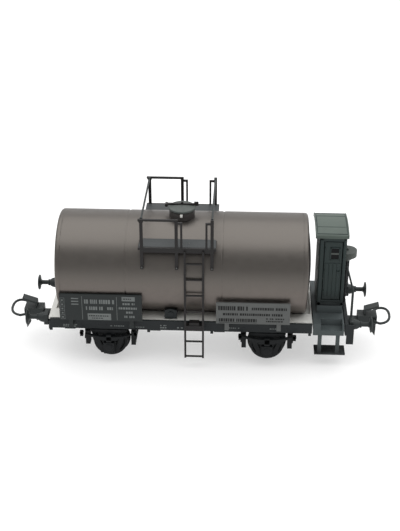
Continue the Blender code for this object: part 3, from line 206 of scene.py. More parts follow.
def drawn_strip(points, width, thickness):
    """A flat strip grown along points in the XZ plane, extruding one end face from point to point."""
    first = Vector(points[0])
    low, high = width
    start = block((first.x, first.x + 1e-5), (low, high), (first.z - thickness, first.z))
    pick(start)
    for polygon in start.data.polygons:
        polygon.select = polygon.normal.x > 0.9
    for edge in start.data.edges:
        edge.select = False
    bpy.ops.object.mode_set(mode="EDIT")
    bpy.ops.mesh.select_mode(type="FACE")
    here = Vector((first.x + 1e-5, 0.0, first.z))
    for point in points[1:]:
        step = Vector(point) - here
        bpy.ops.mesh.extrude_region_move(
            TRANSFORM_OT_translate={"value": (step.x, 0.0, step.z)}
        )
        here = Vector(point)
    bpy.ops.object.mode_set(mode="OBJECT")
    return clean_faces(start)


def copy_of(node):
    """A merged copy of a CAD part, with its flat faces whole again."""
    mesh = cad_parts[node].data.copy()
    piece = bpy.data.objects.new(node + "_copy", mesh)
    bpy.context.scene.collection.objects.link(piece)
    pick(piece)
    bpy.ops.mesh.customdata_custom_splitnormals_clear()
    bpy.ops.object.mode_set(mode="EDIT")
    bpy.ops.mesh.select_all(action="SELECT")
    bpy.ops.mesh.remove_doubles(threshold=1e-6)
    bpy.ops.mesh.dissolve_limited(angle_limit=math.radians(1.0))
    bpy.ops.mesh.normals_make_consistent(inside=False)
    bpy.ops.object.mode_set(mode="OBJECT")
    return piece


def refined(node, width=SOFT_EDGE):
    return soften(copy_of(node), width)


def rivet(place, axis, radius=0.16 * MM):
    """A domed rivet head on a face."""
    steps = [(-0.4, 1.0), (0.0, 1.0), (0.35, 0.85), (0.6, 0.45), (0.68, 0.0)]
    return grown_round([(a * radius, r * radius) for a, r in steps], place, axis, 10)


def bolt(place, axis, radius=0.3 * MM):
    """A hexagon nut with its stub of thread."""
    nut = grown_round([(-0.1 * radius, radius), (0.7 * radius, radius)], place, axis, 6)
    stub = grown_round([(0.0, 0.5 * radius), (1.1 * radius, 0.45 * radius)], place, axis, 10)
    return join([nut, stub])


def row_of(piece, offsets):
    """A piece and its copies at each offset."""
    return [piece] + [duplicate(piece, offset) for offset in offsets]


# Finishes: shared effects are node groups, and each shader stays in its material.


def seen(red, green, blue):
    """Linear colour of a display colour given from 0 to 255."""
    levels = [value / 255 for value in (red, green, blue)]
    return tuple(v / 12.92 if v < 0.04045 else ((v + 0.055) / 1.055) ** 2.4 for v in levels)


def node(tree, kind, **settings):
    made = tree.nodes.new(kind)
    for name, value in settings.items():
        setattr(made, name, value)
    return made


def feed(tree, made, **values):
    """Links or sets a node's inputs, by name with _ for a space."""
    for name, value in values.items():
        socket = made.inputs[name.replace("_", " ")]
        if isinstance(value, bpy.types.NodeSocket):
            tree.links.new(value, socket)
        else:
            socket.default_value = value
    return made


def calc(tree, operation, first, second=0.0, clamp=False):
    made = node(tree, "ShaderNodeMath", operation=operation, use_clamp=clamp)
    for socket, value in zip(made.inputs, (first, second)):
        if isinstance(value, bpy.types.NodeSocket):
            tree.links.new(value, socket)
        else:
            socket.default_value = value
    return made.outputs[0]


def blend_colour(tree, amount, first, second):
    """The colour between two others, by a mask."""
    made = node(tree, "ShaderNodeMix", data_type="RGBA")
    sockets = [s for s in made.inputs if s.enabled]
    for socket, value in zip(sockets, (amount, first, second)):
        if isinstance(value, bpy.types.NodeSocket):
            tree.links.new(value, socket)
        else:
            socket.default_value = (*value, 1.0) if isinstance(value, tuple) else value
    return [s for s in made.outputs if s.enabled][0]


def noise(tree, vector, scale, detail=3.0, roughness=0.55):
    made = node(tree, "ShaderNodeTexNoise")
    feed(tree, made, Vector=vector, Scale=scale, Detail=detail, Roughness=roughness)
    return made.outputs["Fac"]


def group_tree(name, inputs, outputs):
    tree = bpy.data.node_groups.new(name, "ShaderNodeTree")
    for label, kind in inputs:
        tree.interface.new_socket(label, in_out="INPUT", socket_type=kind)
    for label in outputs:
        tree.interface.new_socket(label, in_out="OUTPUT", socket_type="NodeSocketFloat")
    return tree, node(tree, "NodeGroupInput").outputs, node(tree, "NodeGroupOutput").inputs


def make_grain_group():
    """Fine moulded or sprayed grain, with wider clouds of uneven paint."""
    tree, given, out = group_tree(
        "paint grain",
        [("Vector", "NodeSocketVector"), ("Fineness", "NodeSocketFloat")],
        ["Height", "Cloud"],
    )
    tree.links.new(noise(tree, given["Vector"], given["Fineness"], 4.0, 0.65), out["Height"])
    wide = calc(tree, "MULTIPLY", given["Fineness"], 0.06)
    tree.links.new(noise(tree, given["Vector"], wide, 3.0, 0.6), out["Cloud"])


def make_wear_group():
    """Paint rubbed off along outer edges, broken up by noise."""
    tree, given, out = group_tree(
        "edge wear",
        [("Vector", "NodeSocketVector"), ("Width", "NodeSocketFloat"), ("Amount", "NodeSocketFloat")],
        ["Mask"],
    )
    rounded = node(tree, "ShaderNodeBevel", samples=4)
    tree.links.new(given["Width"], rounded.inputs["Radius"])
    plain = node(tree, "ShaderNodeNewGeometry").outputs["Normal"]
    facing = node(tree, "ShaderNodeVectorMath", operation="DOT_PRODUCT")
    tree.links.new(rounded.outputs["Normal"], facing.inputs[0])
    tree.links.new(plain, facing.inputs[1])
    edge = calc(tree, "SUBTRACT", 1.0, facing.outputs["Value"])
    strong = calc(tree, "MULTIPLY", edge, 5.0, clamp=True)
    broken = calc(tree, "GREATER_THAN", noise(tree, given["Vector"], 1400.0, 3.0), 0.47)
    patchy = calc(tree, "MULTIPLY", strong, calc(tree, "ADD", calc(tree, "MULTIPLY", broken, 0.6), 0.4))
    tree.links.new(calc(tree, "MULTIPLY", patchy, given["Amount"], clamp=True), out["Mask"])


def make_dust_group():
    """Dust that settles on what faces up."""
    tree, given, out = group_tree(
        "settled dust",
        [("Vector", "NodeSocketVector"), ("Amount", "NodeSocketFloat")],
        ["Mask"],
    )
    parts = node(tree, "ShaderNodeSeparateXYZ")
    tree.links.new(node(tree, "ShaderNodeNewGeometry").outputs["Normal"], parts.inputs[0])
    upward = calc(tree, "MULTIPLY", calc(tree, "ADD", parts.outputs["Z"], 0.15), 0.9, clamp=True)
    specks = noise(tree, given["Vector"], 900.0, 5.0, 0.7)
    tree.links.new(
        calc(tree, "MULTIPLY", calc(tree, "MULTIPLY", upward, specks), given["Amount"], clamp=True),
        out["Mask"],
    )


DUST_COLOUR = (0.17, 0.165, 0.155)


def use_group(tree, name, **values):
    made = node(tree, "ShaderNodeGroup", node_tree=bpy.data.node_groups[name])
    return feed(tree, made, **values).outputs


def make_finish(
    name,
    colour,
    roughness,
    metallic=0.0,
    fineness=5200.0,
    grain_depth=0.010,
    unevenness=0.18,
    worn=None,
    wear=0.0,
    dust=0.04,
    specular=0.28,
    coat=0.0,
    painted_shading_band=None,
):
    """A painted or moulded surface: its colour varies, its edges wear and dust lies on it, and an optional
    tint over a band of heights paints in light or shade.
    """
    material = bpy.data.materials.new(name)
    material.use_nodes = True
    tree = material.node_tree
    shader = tree.nodes["Principled BSDF"]
    place = node(tree, "ShaderNodeTexCoord").outputs["Object"]
    grain = use_group(tree, "paint grain", Vector=place, Fineness=fineness)
    dark = tuple(value * (1 - unevenness) for value in colour)
    light = tuple(min(1.0, value * (1 + unevenness)) for value in colour)
    shade = blend_colour(tree, grain["Cloud"], dark, light)
    # Painted light and shade: a tint fades in over a band of heights, standing in for light or shade that
    # falls there.
    if painted_shading_band:
        shading_tint, low, high = painted_shading_band
        height = node(tree, "ShaderNodeSeparateXYZ")
        tree.links.new(place, height.inputs[0])
        middle = (low + high) / 2
        away = calc(tree, "ABSOLUTE", calc(tree, "SUBTRACT", height.outputs["Z"], middle))
        near = calc(tree, "SUBTRACT", 1.0, calc(tree, "DIVIDE", away, (high - low) / 2), clamp=True)
        shading_mask = calc(tree, "MULTIPLY", near, calc(tree, "ADD", grain["Cloud"], 0.35), clamp=True)
        shade = blend_colour(tree, shading_mask, shade, shading_tint)
    if wear:
        mask = use_group(tree, "edge wear", Vector=place, Width=0.05 * MM, Amount=wear)["Mask"]
        shade = blend_colour(tree, mask, shade, worn or light)
    film = use_group(tree, "settled dust", Vector=place, Amount=dust)["Mask"]
    shade = blend_colour(tree, film, shade, DUST_COLOUR)
    rough = calc(tree, "ADD", calc(tree, "MULTIPLY", grain["Cloud"], 0.2), roughness - 0.1)
    bump = node(tree, "ShaderNodeBump")
    feed(tree, bump, Height=grain["Height"], Distance=grain_depth * MM, Strength=0.7)
    feed(tree, shader, Base_Color=shade, Roughness=rough, Normal=bump.outputs["Normal"])
    shader.inputs["Metallic"].default_value = metallic
    shader.inputs["Specular IOR Level"].default_value = specular
    shader.inputs["Coat Weight"].default_value = coat
    return material


make_grain_group()
make_wear_group()
make_dust_group()

RUBBED = seen(96, 98, 96)
CAB_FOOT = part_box("cab_body")[0].z
FINISHES = {
    "tank": make_finish(
        "tank metallic paint", seen(96, 92, 88), 0.40, metallic=0.92, grain_depth=0.006,
        unevenness=0.06, fineness=9000.0, wear=0.1, worn=seen(150, 146, 138), specular=0.4,
        # Painted reflection: the lower flank of the tank is painted lighter, standing in for the pale floor
        # it mirrors.
        painted_shading_band=(seen(118, 110, 105), 9 * MM, 29 * MM),
    ),
    # Painted light: the deck shares the tank's grey but is painted near white, so that it shows bright though
    # it lies in the tank's shadow.
    "deck": make_finish("deck paint with painted light", seen(215, 215, 210), 0.5, unevenness=0.06, wear=0.1),
    "frame": make_finish("slate frame plastic", seen(24, 29, 31), 0.55, wear=0.12, worn=RUBBED),
    "platform": make_finish(
        "slate platform plastic", seen(68, 75, 76), 0.6, wear=0.12, worn=RUBBED,
        # Painted shade: the step at the foot of the platform is painted near black, for the shade under the
        # platform deck.
        painted_shading_band=(seen(14, 16, 17), 0.5 * MM, 8.5 * MM),
    ),
    "walkway": make_finish("black railing plastic", seen(27, 25, 25), 0.5, wear=0.12, worn=RUBBED),
    "plate": make_finish("blue grey chequer plate", seen(58, 61, 62), 0.55, wear=0.2, worn=RUBBED),
    "dome": make_finish("dome paint", seen(54, 51, 49), 0.5, wear=0.1, worn=RUBBED),
    "gear": make_finish("black running gear", seen(4, 8, 11), 0.6, wear=0.1, worn=seen(50, 54, 56)),
    "coupler": make_finish("grey coupler plastic", seen(40, 45, 45), 0.55, wear=0.15, worn=RUBBED),
    "cab": make_finish(
        "dark green cab paint", seen(35, 47, 46), 0.5, wear=0.12, worn=seen(84, 98, 94),
        # Painted shade: the foot of the cab is painted near black, for the shadow where the cab meets the
        # platform.
        painted_shading_band=(seen(4, 9, 11), CAB_FOOT - 5.0 * MM, CAB_FOOT + 5.0 * MM),
    ),
    "roof": make_finish("pale green roof paint", seen(74, 84, 78), 0.5, wear=0.15, dust=0.06),
    "sign_dark": make_finish("slate sign paint", seen(30, 35, 35), 0.5, wear=0.1, worn=RUBBED),
    "sign_light": make_finish("light sign paint", seen(86, 88, 87), 0.5, wear=0.1, worn=seen(130, 130, 126)),
    "marks_light": make_finish("light printing", seen(104, 108, 107), 0.6, unevenness=0.3),
    "marks_dark": make_finish("dark printing", seen(18, 19, 19), 0.6, unevenness=0.3),
    "housing": make_finish("grey housing plastic", seen(72, 77, 74), 0.55, wear=0.1, worn=RUBBED),
    # Painted shade: the panes are near black, standing in for the unlit inside of the cab behind the glass.
    "window": make_finish(
        "window glass with painted inside shade", seen(4, 6, 7), 0.3, unevenness=0.1, dust=0.0, specular=0.12, coat=0.03
    ),
    "steel": make_finish("turned steel", seen(150, 150, 146), 0.35, metallic=1.0, unevenness=0.1),
    "ballast": make_finish("cast ballast", seen(80, 80, 82), 0.7, metallic=0.8, grain_depth=0.05),
}


# The tank.


TANK_SEAMS = (-19.8 * MM, 6.6 * MM)
END_BULGE = 1.1 * MM
END_STEP = 0.25 * MM


def make_tank():
    low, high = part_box("tank_barrel")
    radius = (high.z - low.z) / 2
    centre = Vector((0.0, 0.0, (low.z + high.z) / 2))
    groove = 0.16 * MM
    sections = [(low.x, radius - groove), (low.x + groove, radius)]
    for seam in TANK_SEAMS:
        for offset, depth in ((-2, 0), (-1, 1), (1, 1), (2, 0)):
            sections.append((seam + offset * groove, radius - depth * groove))
    sections += [(high.x - groove, radius), (high.x, radius - groove)]
    barrel = grown_round(sections, centre, (1, 0, 0), 128)
    rivets = []
    for seam in TANK_SEAMS:
        for side in (-1, 1):
            for step in range(4):
                angle = math.radians(198 + 7 * step)
                out = Vector((0.0, side * -math.cos(angle), math.sin(angle)))
                for beside in (-1.1 * MM, 1.1 * MM):
                    spot = centre + out * radius + Vector((seam + beside, 0.0, 0.0))
                    rivets.append(rivet(spot, out, 0.13 * MM))
    fit("tank_barrel_shell", [barrel] + rivets, "tank", stands_for=["tank_barrel"])
    for end, way in ENDS.items():
        low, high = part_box("tank_end_" + end)
        inner = low.x if way > 0 else -high.x
        outer = high.x if way > 0 else -low.x
        rim = outer - END_BULGE
        edge = 0.8 * MM
        sections = [(inner, radius * 0.9), (rim - 2 * edge, radius * 0.9), (rim - 2 * edge + groove, radius)]
        for step in range(7):
            turn = math.pi / 2 * step / 6
            sections.append((rim - edge + edge * math.sin(turn), radius - edge + edge * math.cos(turn)))
        sections.append((rim - END_STEP, radius - 1.5 * edge))
        inside = radius - 1.6 * edge
        for step in range(1, 11):
            share = 1 - step / 10
            crown = (END_BULGE + END_STEP) * (1 - share**2)
            sections.append((rim - END_STEP + crown, max(inside * share, 0.0)))
        dish = grown_round(sections, centre, (way, 0, 0), 128)
        fit("tank_end_%s_shell" % end, [dish], "tank", stands_for=["tank_end_" + end])


def make_dome():
    low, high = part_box("dome_neck")
    middle = (low + high) / 2
    radius = (high.x - low.x) / 2
    foot = Vector((middle.x, 0.0, low.z))
    rise = high.z - low.z
    neck = grown_round(
        [(0.0, radius), (rise * 0.5, radius), (rise - 0.15 * MM, radius), (rise, radius - 0.1 * MM)],
        foot, (0, 0, 1), 64,
    )
    lug = soft_block(
        (middle.x - 0.35 * MM, middle.x + 0.35 * MM),
        (-radius - 0.45 * MM, -radius + 0.3 * MM),
        (high.z - 0.9 * MM, high.z - 0.1 * MM),
    )
    fit("dome_neck_shell", [neck], "dome", stands_for=["dome_neck"])
    # The lug takes the deck finish, whose near white is painted light.
    fit("dome_lug", [lug, rivet((middle.x, -radius - 0.45 * MM, high.z - 0.5 * MM), (0, -1, 0))], "deck")
    low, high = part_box("dome_lid")
    edge = radius + 0.2 * MM
    lid = grown_round(
        [
            (0.0, edge), (0.36 * MM, edge), (0.48 * MM, edge - 0.1 * MM), (0.5 * MM, edge - 0.35 * MM),
            (0.44 * MM, edge - 0.5 * MM), (0.55 * MM, edge * 0.5), (0.62 * MM, edge * 0.2), (0.62 * MM, 0.0),
        ],
        (middle.x, 0.0, low.z), (0, 0, 1), 64,
    )
    fit("dome_lid_shell", [lid], "housing", stands_for=["dome_lid"])
    strap = soft_block(
        (low.x + 0.3 * MM, high.x - 0.2 * MM), (0.7 * MM, 1.4 * MM), (low.z + 0.45 * MM, low.z + 0.95 * MM)
    )
    hinge = wire(
        [(low.x + 0.4 * MM, 0.3 * MM, low.z + 0.5 * MM), (low.x + 0.4 * MM, 1.8 * MM, low.z + 0.5 * MM)],
        0.45 * MM,
    )
    latch = soft_block(
        (high.x - 1.3 * MM, high.x - 0.1 * MM), (0.8 * MM, 1.3 * MM), (low.z + 0.3 * MM, high.z - 0.1 * MM)
    )
    screw = bolt((middle.x, 1.05 * MM, low.z + 0.95 * MM), (0, 0, 1), 0.4 * MM)
    fit("dome_strap", [strap, hinge, latch, screw], "walkway")


# Walkways, railings and ladders.


RAIL_POSTS = (-15.0 * MM, -5.65 * MM, 3.9 * MM)
STUD_ROWS = 4
STUD_COLUMNS = 24
STUD_PITCH = 0.84 * MM


def make_walkway(name, side):
    part = "walkway_" + name
    low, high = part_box(part)
    deck_top = low.z + 6.5 * MM
    first = rivet((low.x + 0.7 * MM, side * 10.3 * MM, deck_top), (0, 0, 1), 0.14 * MM)
    offsets = []
    for row in range(STUD_ROWS):
        for column in range(STUD_COLUMNS):
            shift = STUD_PITCH / 2 if row % 2 else 0.0
            if row or column:
                offsets.append((column * STUD_PITCH + shift, side * row * 0.8 * MM, 0.0))
    studs = row_of(first, offsets)
    outer = side * max(abs(low.y), abs(high.y))
    out = (0, side, 0)
    knobs = []
    feet = []
    caps = []
    for post in RAIL_POSTS:
        knobs.append(rivet((post, outer, high.z - 0.5 * MM), out, 0.3 * MM))
        feet.append(rivet((post, outer, low.z + 0.55 * MM), out, 0.42 * MM))
        caps.append(rivet((post, outer + side * 0.25 * MM, low.z + 0.62 * MM), out, 0.2 * MM))
    fit(part + "_frame", [refined(part)] + knobs + feet, "walkway", stands_for=[part])
    sheet = soft_block(
        (low.x + 0.15 * MM, high.x - 0.15 * MM),
        (side * 8.6 * MM, side * 13.5 * MM),
        (deck_top - 0.1 * MM, deck_top + 0.06 * MM),
        0.03 * MM,
    )
    fit(part + "_chequer", [sheet] + studs, "plate")
    caps.append(rivet((-2.4 * MM, side * 11.2 * MM, deck_top + 0.02 * MM), (0, 0, 1), 0.26 * MM))
    fit(part + "_bolt_caps", caps, "sign_light")


def make_crossbars():
    for end in ENDS:
        low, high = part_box("crossbar_" + end)
        middle = (low + high) / 2
        tube = wire([(middle.x, low.y, middle.z), (middle.x, high.y, middle.z)], 0.28 * MM)
        collars = [
            grown_round([(0.0, 0.42 * MM), (0.5 * MM, 0.42 * MM)], (middle.x, y, middle.z), (0, way, 0), 16)
            for y, way in ((low.y, 1), (high.y, -1))
        ]
        fit("crossbar_%s_tube" % end, [tube] + collars, "coupler", stands_for=["crossbar_" + end])


def make_walkways():
    for name, side in SIDES.items():
        make_walkway(name, side)
    make_crossbars()


def make_ladders():
    for name, side in SIDES.items():
        low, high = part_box("ladder_" + name)
        face = low.y if side < 0 else high.y
        rivets = []
        for x in (low.x + 0.28 * MM, high.x - 0.28 * MM):
            for step in range(7):
                spot = (x, face, 4.0 * MM + step * 4.88 * MM)
                rivets.append(rivet(spot, (0, side, 0), 0.13 * MM))
        shapes = [refined("ladder_" + name)] + rivets
        fit("ladder_%s_rails" % name, shapes, "walkway", stands_for=["ladder_" + name])


# Sign boards with abstract printing: rules, cells, plates and rows of dashes.


def dashes(row, face, chance):
    """A row of short bars of uneven length, with gaps like those between words."""
    left, right, low, high = row
    shapes = []
    x = left
    while x < right:
        wide = chance.uniform(0.3, 0.62)
        stop = min(x + wide, right)
        if stop - x > 0.15:
            shapes.append(block((x * MM, stop * MM), face, (low * MM, high * MM)))
        x = stop + (0.55 if chance.random() < 0.15 else 0.17)
    return shapes


def make_signs():
    for name, side in SIDES.items():
        for place in ("left", "right"):
            board = "sign_board_%s_%s" % (place, name)
            low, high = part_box(board)
            front = abs(low.y if side < 0 else high.y)
            face = (side * (front - 0.01 * MM), side * (front + 0.035 * MM))
            chance = random.Random(7 if place == "left" else 11)
            left = low.x / MM
            top = high.z / MM
            finish = "sign_dark" if place == "left" else "sign_light"
            bolts = [
                rivet((x, side * front, z), (0, side, 0), 0.17 * MM)
                for x in (low.x + 0.5 * MM, high.x - 0.5 * MM)
                for z in (high.z - 0.4 * MM,)
            ]
            fit(board + "_plate", [refined(board, 0.05 * MM)] + bolts, finish, stands_for=[board])
            if place == "left":
                marks = left_sign_marks(left, top, face, chance)
                fit("sign_marks_%s_%s" % (place, name), marks, "marks_light")
                over = (side * (front + 0.03 * MM), side * (front + 0.06 * MM))
                fine = []
                for row in ((8.2, 13.6, -6.9, -6.6), (9.0, 12.6, -7.6, -7.35), (17.8, 20.6, -1.35, -1.05)):
                    fine += dashes((left + row[0], left + row[1], top + row[2], top + row[3]), over, chance)
                fit("sign_plate_marks_%s" % name, fine, "marks_dark")
            else:
                marks = right_sign_marks(left, top, face, chance)
                fit("sign_marks_%s_%s" % (place, name), marks, "marks_dark")


# Each row below is (left, right, bottom, top) in MM from the board's top left corner.


def left_sign_marks(left, top, face, chance):
    def bar(x0, x1, z0, z1):
        return block(
            ((left + x0) * MM, (left + x1) * MM), face, ((top + z0) * MM, (top + z1) * MM)
        )

    marks = [bar(0.3, 0.38, -8.0, -1.2), bar(1.42, 1.5, -8.0, -1.2)]
    for cell in range(6):
        marks.append(bar(0.38, 1.42, -1.28 - cell * 1.34, -1.2 - cell * 1.34))
        if cell < 5:
            marks.append(bar(0.65, 1.1, -2.2 - cell * 1.34, -1.75 - cell * 1.34))
    for step in range(3):
        marks.append(bar(3.4, 5.4, -1.5 - step * 0.9, -1.2 - step * 0.9))
    marks += [bar(6.3, 6.42, -8.0, -0.6), bar(15.9, 16.02, -8.0, -0.6)]
    marks.append(bar(7.8, 14.3, -8.05, -6.0))
    marks.append(bar(17.4, 21.0, -1.9, -0.55))
    rows = [
        (7.0, 15.3, -2.9, -1.6),
        (7.4, 12.4, -4.9, -3.8),
        (13.3, 14.9, -4.8, -3.9),
        (17.6, 20.9, -3.1, -2.5),
        (16.5, 21.6, -4.5, -3.85),
        (18.5, 20.3, -5.8, -5.15),
        (18.0, 20.9, -7.2, -6.5),
    ]
    for x0, x1, z0, z1 in rows:
        marks += dashes((left + x0, left + x1, top + z0, top + z1), face, chance)
    return marks


def right_sign_marks(left, top, face, chance):
    rows = [
        (0.6, 9.2, -2.3, -1.0),
        (9.8, 19.4, -2.1, -1.3),
        (1.9, 18.4, -3.9, -3.2),
        (0.8, 11.2, -5.9, -4.9),
        (13.8, 19.0, -5.0, -4.6),
        (13.8, 18.6, -5.8, -5.4),
    ]
    marks = []
    for x0, x1, z0, z1 in rows:
        marks += dashes((left + x0, left + x1, top + z0, top + z1), face, chance)
    marks.append(
        block(((left + 0.8) * MM, (left + 11.2) * MM), face, ((top - 6.25) * MM, (top - 6.15) * MM))
    )
    return marks


# Underframe and running gear.


def make_underframe():
    shapes = [refined("underframe")]
    for side in SIDES.values():
        spot = rivet((-40.0 * MM, side * 12.5 * MM, 12.4 * MM), (0, side, 0), 0.14 * MM)
        shapes += row_of(spot, [(step * 2.4 * MM, 0.0, 0.0) for step in range(1, 30)])
    for end, way in ENDS.items():
        for y in (-4.6, 4.6):
            shapes.append(bolt((way * 41.9 * MM, y * MM, 12.4 * MM), (way, 0, 0), 0.32 * MM))
    fit("underframe_bars", shapes, "frame", stands_for=["underframe"])
    chance = random.Random(5)
    for name, side in SIDES.items():
        face = (side * 12.49 * MM, side * 12.535 * MM)
        marks = []
        for row in (
            (-37.8, -33.9, 12.0, 12.3), (-37.8, -33.9, 11.5, 11.8), (-24.5, -20.6, 11.9, 12.2),
            (-17.4, -14.9, 11.7, 11.95), (-10.5, -8.7, 12.3, 12.7), (-10.5, -8.7, 11.6, 12.0),
            (-5.8, -4.2, 11.7, 12.1), (8.6, 11.8, 12.1, 12.4), (20.0, 23.0, 12.1, 12.4),
        ):
            marks += dashes(row, face, chance)
        fit("frame_marks_" + name, marks, "marks_light")
    # The base plate takes the deck finish, whose near white is painted light.
    fit("base_plate_deck", [refined("base_plate", 0.05 * MM)], "deck", stands_for=["base_plate"])
    low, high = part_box("outlet_valve")
    middle = (low + high) / 2
    rim = [(0.0, 0.7 * MM), (0.25 * MM, 0.7 * MM)]
    wheel = grown_round(rim, (middle.x, low.y, middle.z), (0, -1, 0), 20)
    fit("outlet_valve_body", [refined("outlet_valve"), wheel], "frame", stands_for=["outlet_valve"])


def make_wheels():
    for place in ENDS:
        for name, side in SIDES.items():
            part = "wheel_%s_%s" % (place, name)
            low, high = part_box(part)
            middle = (low + high) / 2
            flange = (high.z - low.z) / 2
            back = min(abs(low.y), abs(high.y))
            tread = flange - 0.6 * MM
            sections = [
                (0.0, flange - 0.35 * MM), (0.12 * MM, flange - 0.1 * MM), (0.3 * MM, flange),
                (0.5 * MM, flange - 0.12 * MM), (0.8 * MM, tread), (2.7 * MM, tread - 0.12 * MM),
                (2.8 * MM, tread - 0.25 * MM), (2.8 * MM, tread * 0.84), (2.2 * MM, tread * 0.8),
                (2.1 * MM, tread * 0.5), (2.2 * MM, tread * 0.36), (2.8 * MM, tread * 0.32),
                (2.8 * MM, 0.16 * MM),
            ]
            disc = grown_round(sections, (middle.x, side * back, middle.z), (0, side, 0), 72)
            fit(part + "_disc", [disc], "gear", "wheelset_" + place, [part])


def make_running_gear():
    for place in ENDS:
        for name, side in SIDES.items():
            guard = "axle_guard_%s_%s" % (place, name)
            low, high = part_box(guard)
            middle = (low + high) / 2
            outer = side * max(abs(low.y), abs(high.y))
            shapes = [refined(guard)]
            cover = grown_round(
                [(0.0, 1.05 * MM), (0.15 * MM, 1.05 * MM), (0.25 * MM, 0.9 * MM), (0.3 * MM, 0.4 * MM)],
                (middle.x, outer - side * 0.05 * MM, 5.5 * MM), (0, side, 0), 28,
            )
            shapes.append(cover)
            for x in (-1.15, 1.15):
                for z in (4.1, 6.6):
                    spot = (middle.x + x * MM, outer, z * MM)
                    shapes.append(rivet(spot, (0, side, 0), 0.2 * MM))
            fit(guard + "_casting", shapes, "gear", stands_for=[guard])
            make_leaf_spring(place, name)
    for place in ENDS:
        for where in ("inner", "outer"):
            beam = "brake_beam_%s_%s" % (place, where)
            fit(beam + "_casting", [refined(beam)], "gear", stands_for=[beam])


def make_leaf_spring(place, name):
    """Separate leaves, each shorter than the one above, with a buckle and two eyes."""
    part = "leaf_spring_%s_%s" % (place, name)
    low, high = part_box(part)
    middle = (low + high) / 2
    across = (low.y, high.y)
    half = (high.x - low.x) / 2
    shapes = []
    leaf = 0.26 * MM
    for number in range(5):
        reach = half * (1 - 0.17 * number)
        points = []
        for step in range(17):
            share = 2 * step / 16 - 1
            x = share * reach
            sag = 1.5 * MM * (1 - (x / half) ** 2)
            points.append((middle.x + x, 0.0, high.z - sag - number * leaf * 1.08))
        shapes.append(drawn_strip(points, across, leaf))
    shapes.append(
        soft_block((middle.x - 0.75 * MM, middle.x + 0.75 * MM), across, (low.z, high.z - 1.2 * MM))
    )
    for way in (-1, 1):
        eye = (middle.x + way * (half - 0.45 * MM), across[0], high.z - 0.55 * MM)
        width = across[1] - across[0]
        shapes.append(grown_round([(0.0, 0.55 * MM), (width, 0.55 * MM)], eye, (0, 1, 0), 20))
        shackle = (middle.x + way * (half - 0.9 * MM), middle.x + way * half)
        shapes.append(soft_block(shackle, across, (high.z - 1.6 * MM, high.z)))
    fit(part + "_leaves", shapes, "gear", stands_for=[part])


def make_buffers():
    for end, way in ENDS.items():
        for name, side in SIDES.items():
            part = "buffer_%s_%s" % (end, name)
            low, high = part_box(part)
            seat = low.x if way > 0 else -high.x
            face = high.x if way > 0 else -low.x
            place = (0.0, side * 10.0 * MM, 12.9 * MM)
            boss = soft_block(
                (way * seat, way * (seat + 1.2 * MM)), (low.y + 0.65 * MM, high.y - 0.65 * MM),
                (11.3 * MM, 14.5 * MM), 0.12 * MM,
            )
            stem = grown_round(
                [
                    (seat + 1.0 * MM, 1.5 * MM), (seat + 1.6 * MM, 1.45 * MM), (seat + 2.3 * MM, 1.3 * MM),
                    (seat + 3.0 * MM, 0.85 * MM), (seat + 3.1 * MM, 0.95 * MM), (seat + 3.4 * MM, 0.95 * MM),
                    (seat + 3.5 * MM, 0.65 * MM), (face - 1.1 * MM, 0.65 * MM), (face - 0.7 * MM, 0.9 * MM),
                    (face - 0.45 * MM, 2.1 * MM), (face - 0.36 * MM, 2.23 * MM), (face - 0.2 * MM, 2.25 * MM),
                    (face - 0.08 * MM, 2.15 * MM), (face, 1.9 * MM), (face, 0.0),
                ],
                place, (way, 0, 0), 48,
            )
            bolts = [
                rivet((way * (seat + 1.2 * MM), place[1] + y * MM, place[2] + z * MM), (way, 0, 0), 0.2 * MM)
                for y in (-1.25, 1.25) for z in (-1.25, 1.25)
            ]
            fit(part + "_casting", [boss, stem] + bolts, "coupler", stands_for=[part])


def make_couplers():
    for end, way in ENDS.items():
        part = "drawbar_" + end
        fit(part + "_casting", [refined(part, 0.09 * MM)], "coupler", "coupler_" + end, [part])
        part = "coupler_hoop_" + end
        fit(part + "_wire", [refined(part, 0.03 * MM)], "coupler", "hoop_" + end, [part], smooth=60)


# Brakeman's platform and cab.


def make_platform():
    shapes = [refined("cab_platform")]
    for side in SIDES.values():
        tread = rivet((33.4 * MM, side * 8.4 * MM, 4.45 * MM), (0, 0, 1), 0.13 * MM)
        offsets = [
            (column * 0.75 * MM, side * row * 0.75 * MM, 0.0)
            for row in range(5) for column in range(11) if row or column
        ]
        shapes += row_of(tread, offsets)
    fit("cab_platform_step", shapes, "platform", stands_for=["cab_platform"])


def planks(count, across, up, face, proud):
    """Upright boards side by side, with a thin groove between them."""
    start, stop = across
    groove = 0.22 * MM
    wide = (stop - start + groove) / count - groove
    shapes = []
    for number in range(count):
        left = start + number * (wide + groove)
        shapes.append(((left, left + wide), (face, face + proud), up))
    return shapes


def make_cab_body():
    low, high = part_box("cab_body")
    shapes = [refined("cab_body", 0.1 * MM)]
    proud = 0.2 * MM
    post = 0.9 * MM
    for side in SIDES.values():
        face = side * abs(low.y)
        for x in ((low.x, low.x + post), (high.x - post * 0.75, high.x)):
            shapes.append(soft_block(x, (face, face + side * proud), (low.z, high.z)))
        for z in ((low.z, low.z + 0.9 * MM), (high.z - 0.8 * MM, high.z)):
            shapes.append(soft_block((low.x, high.x), (face, face + side * proud), z))
    across_end = (low.y + 0.5 * MM, high.y - 0.5 * MM)
    up_end = (low.z + 0.4 * MM, high.z - 0.4 * MM)
    for way, face in ((-1, low.x), (1, high.x)):
        for across, depth, up in planks(6, across_end, up_end, face, way * proud):
            shapes.append(soft_block(depth, across, up, 0.04 * MM))
    fit("cab_body_boards", shapes, "cab", stands_for=["cab_body"])


WINDOW_FRAME = (36.0 * MM, 38.7 * MM)
WINDOW_FRAME_BAR = 0.3
WINDOW_GLASS = (36.2 * MM, 38.5 * MM)


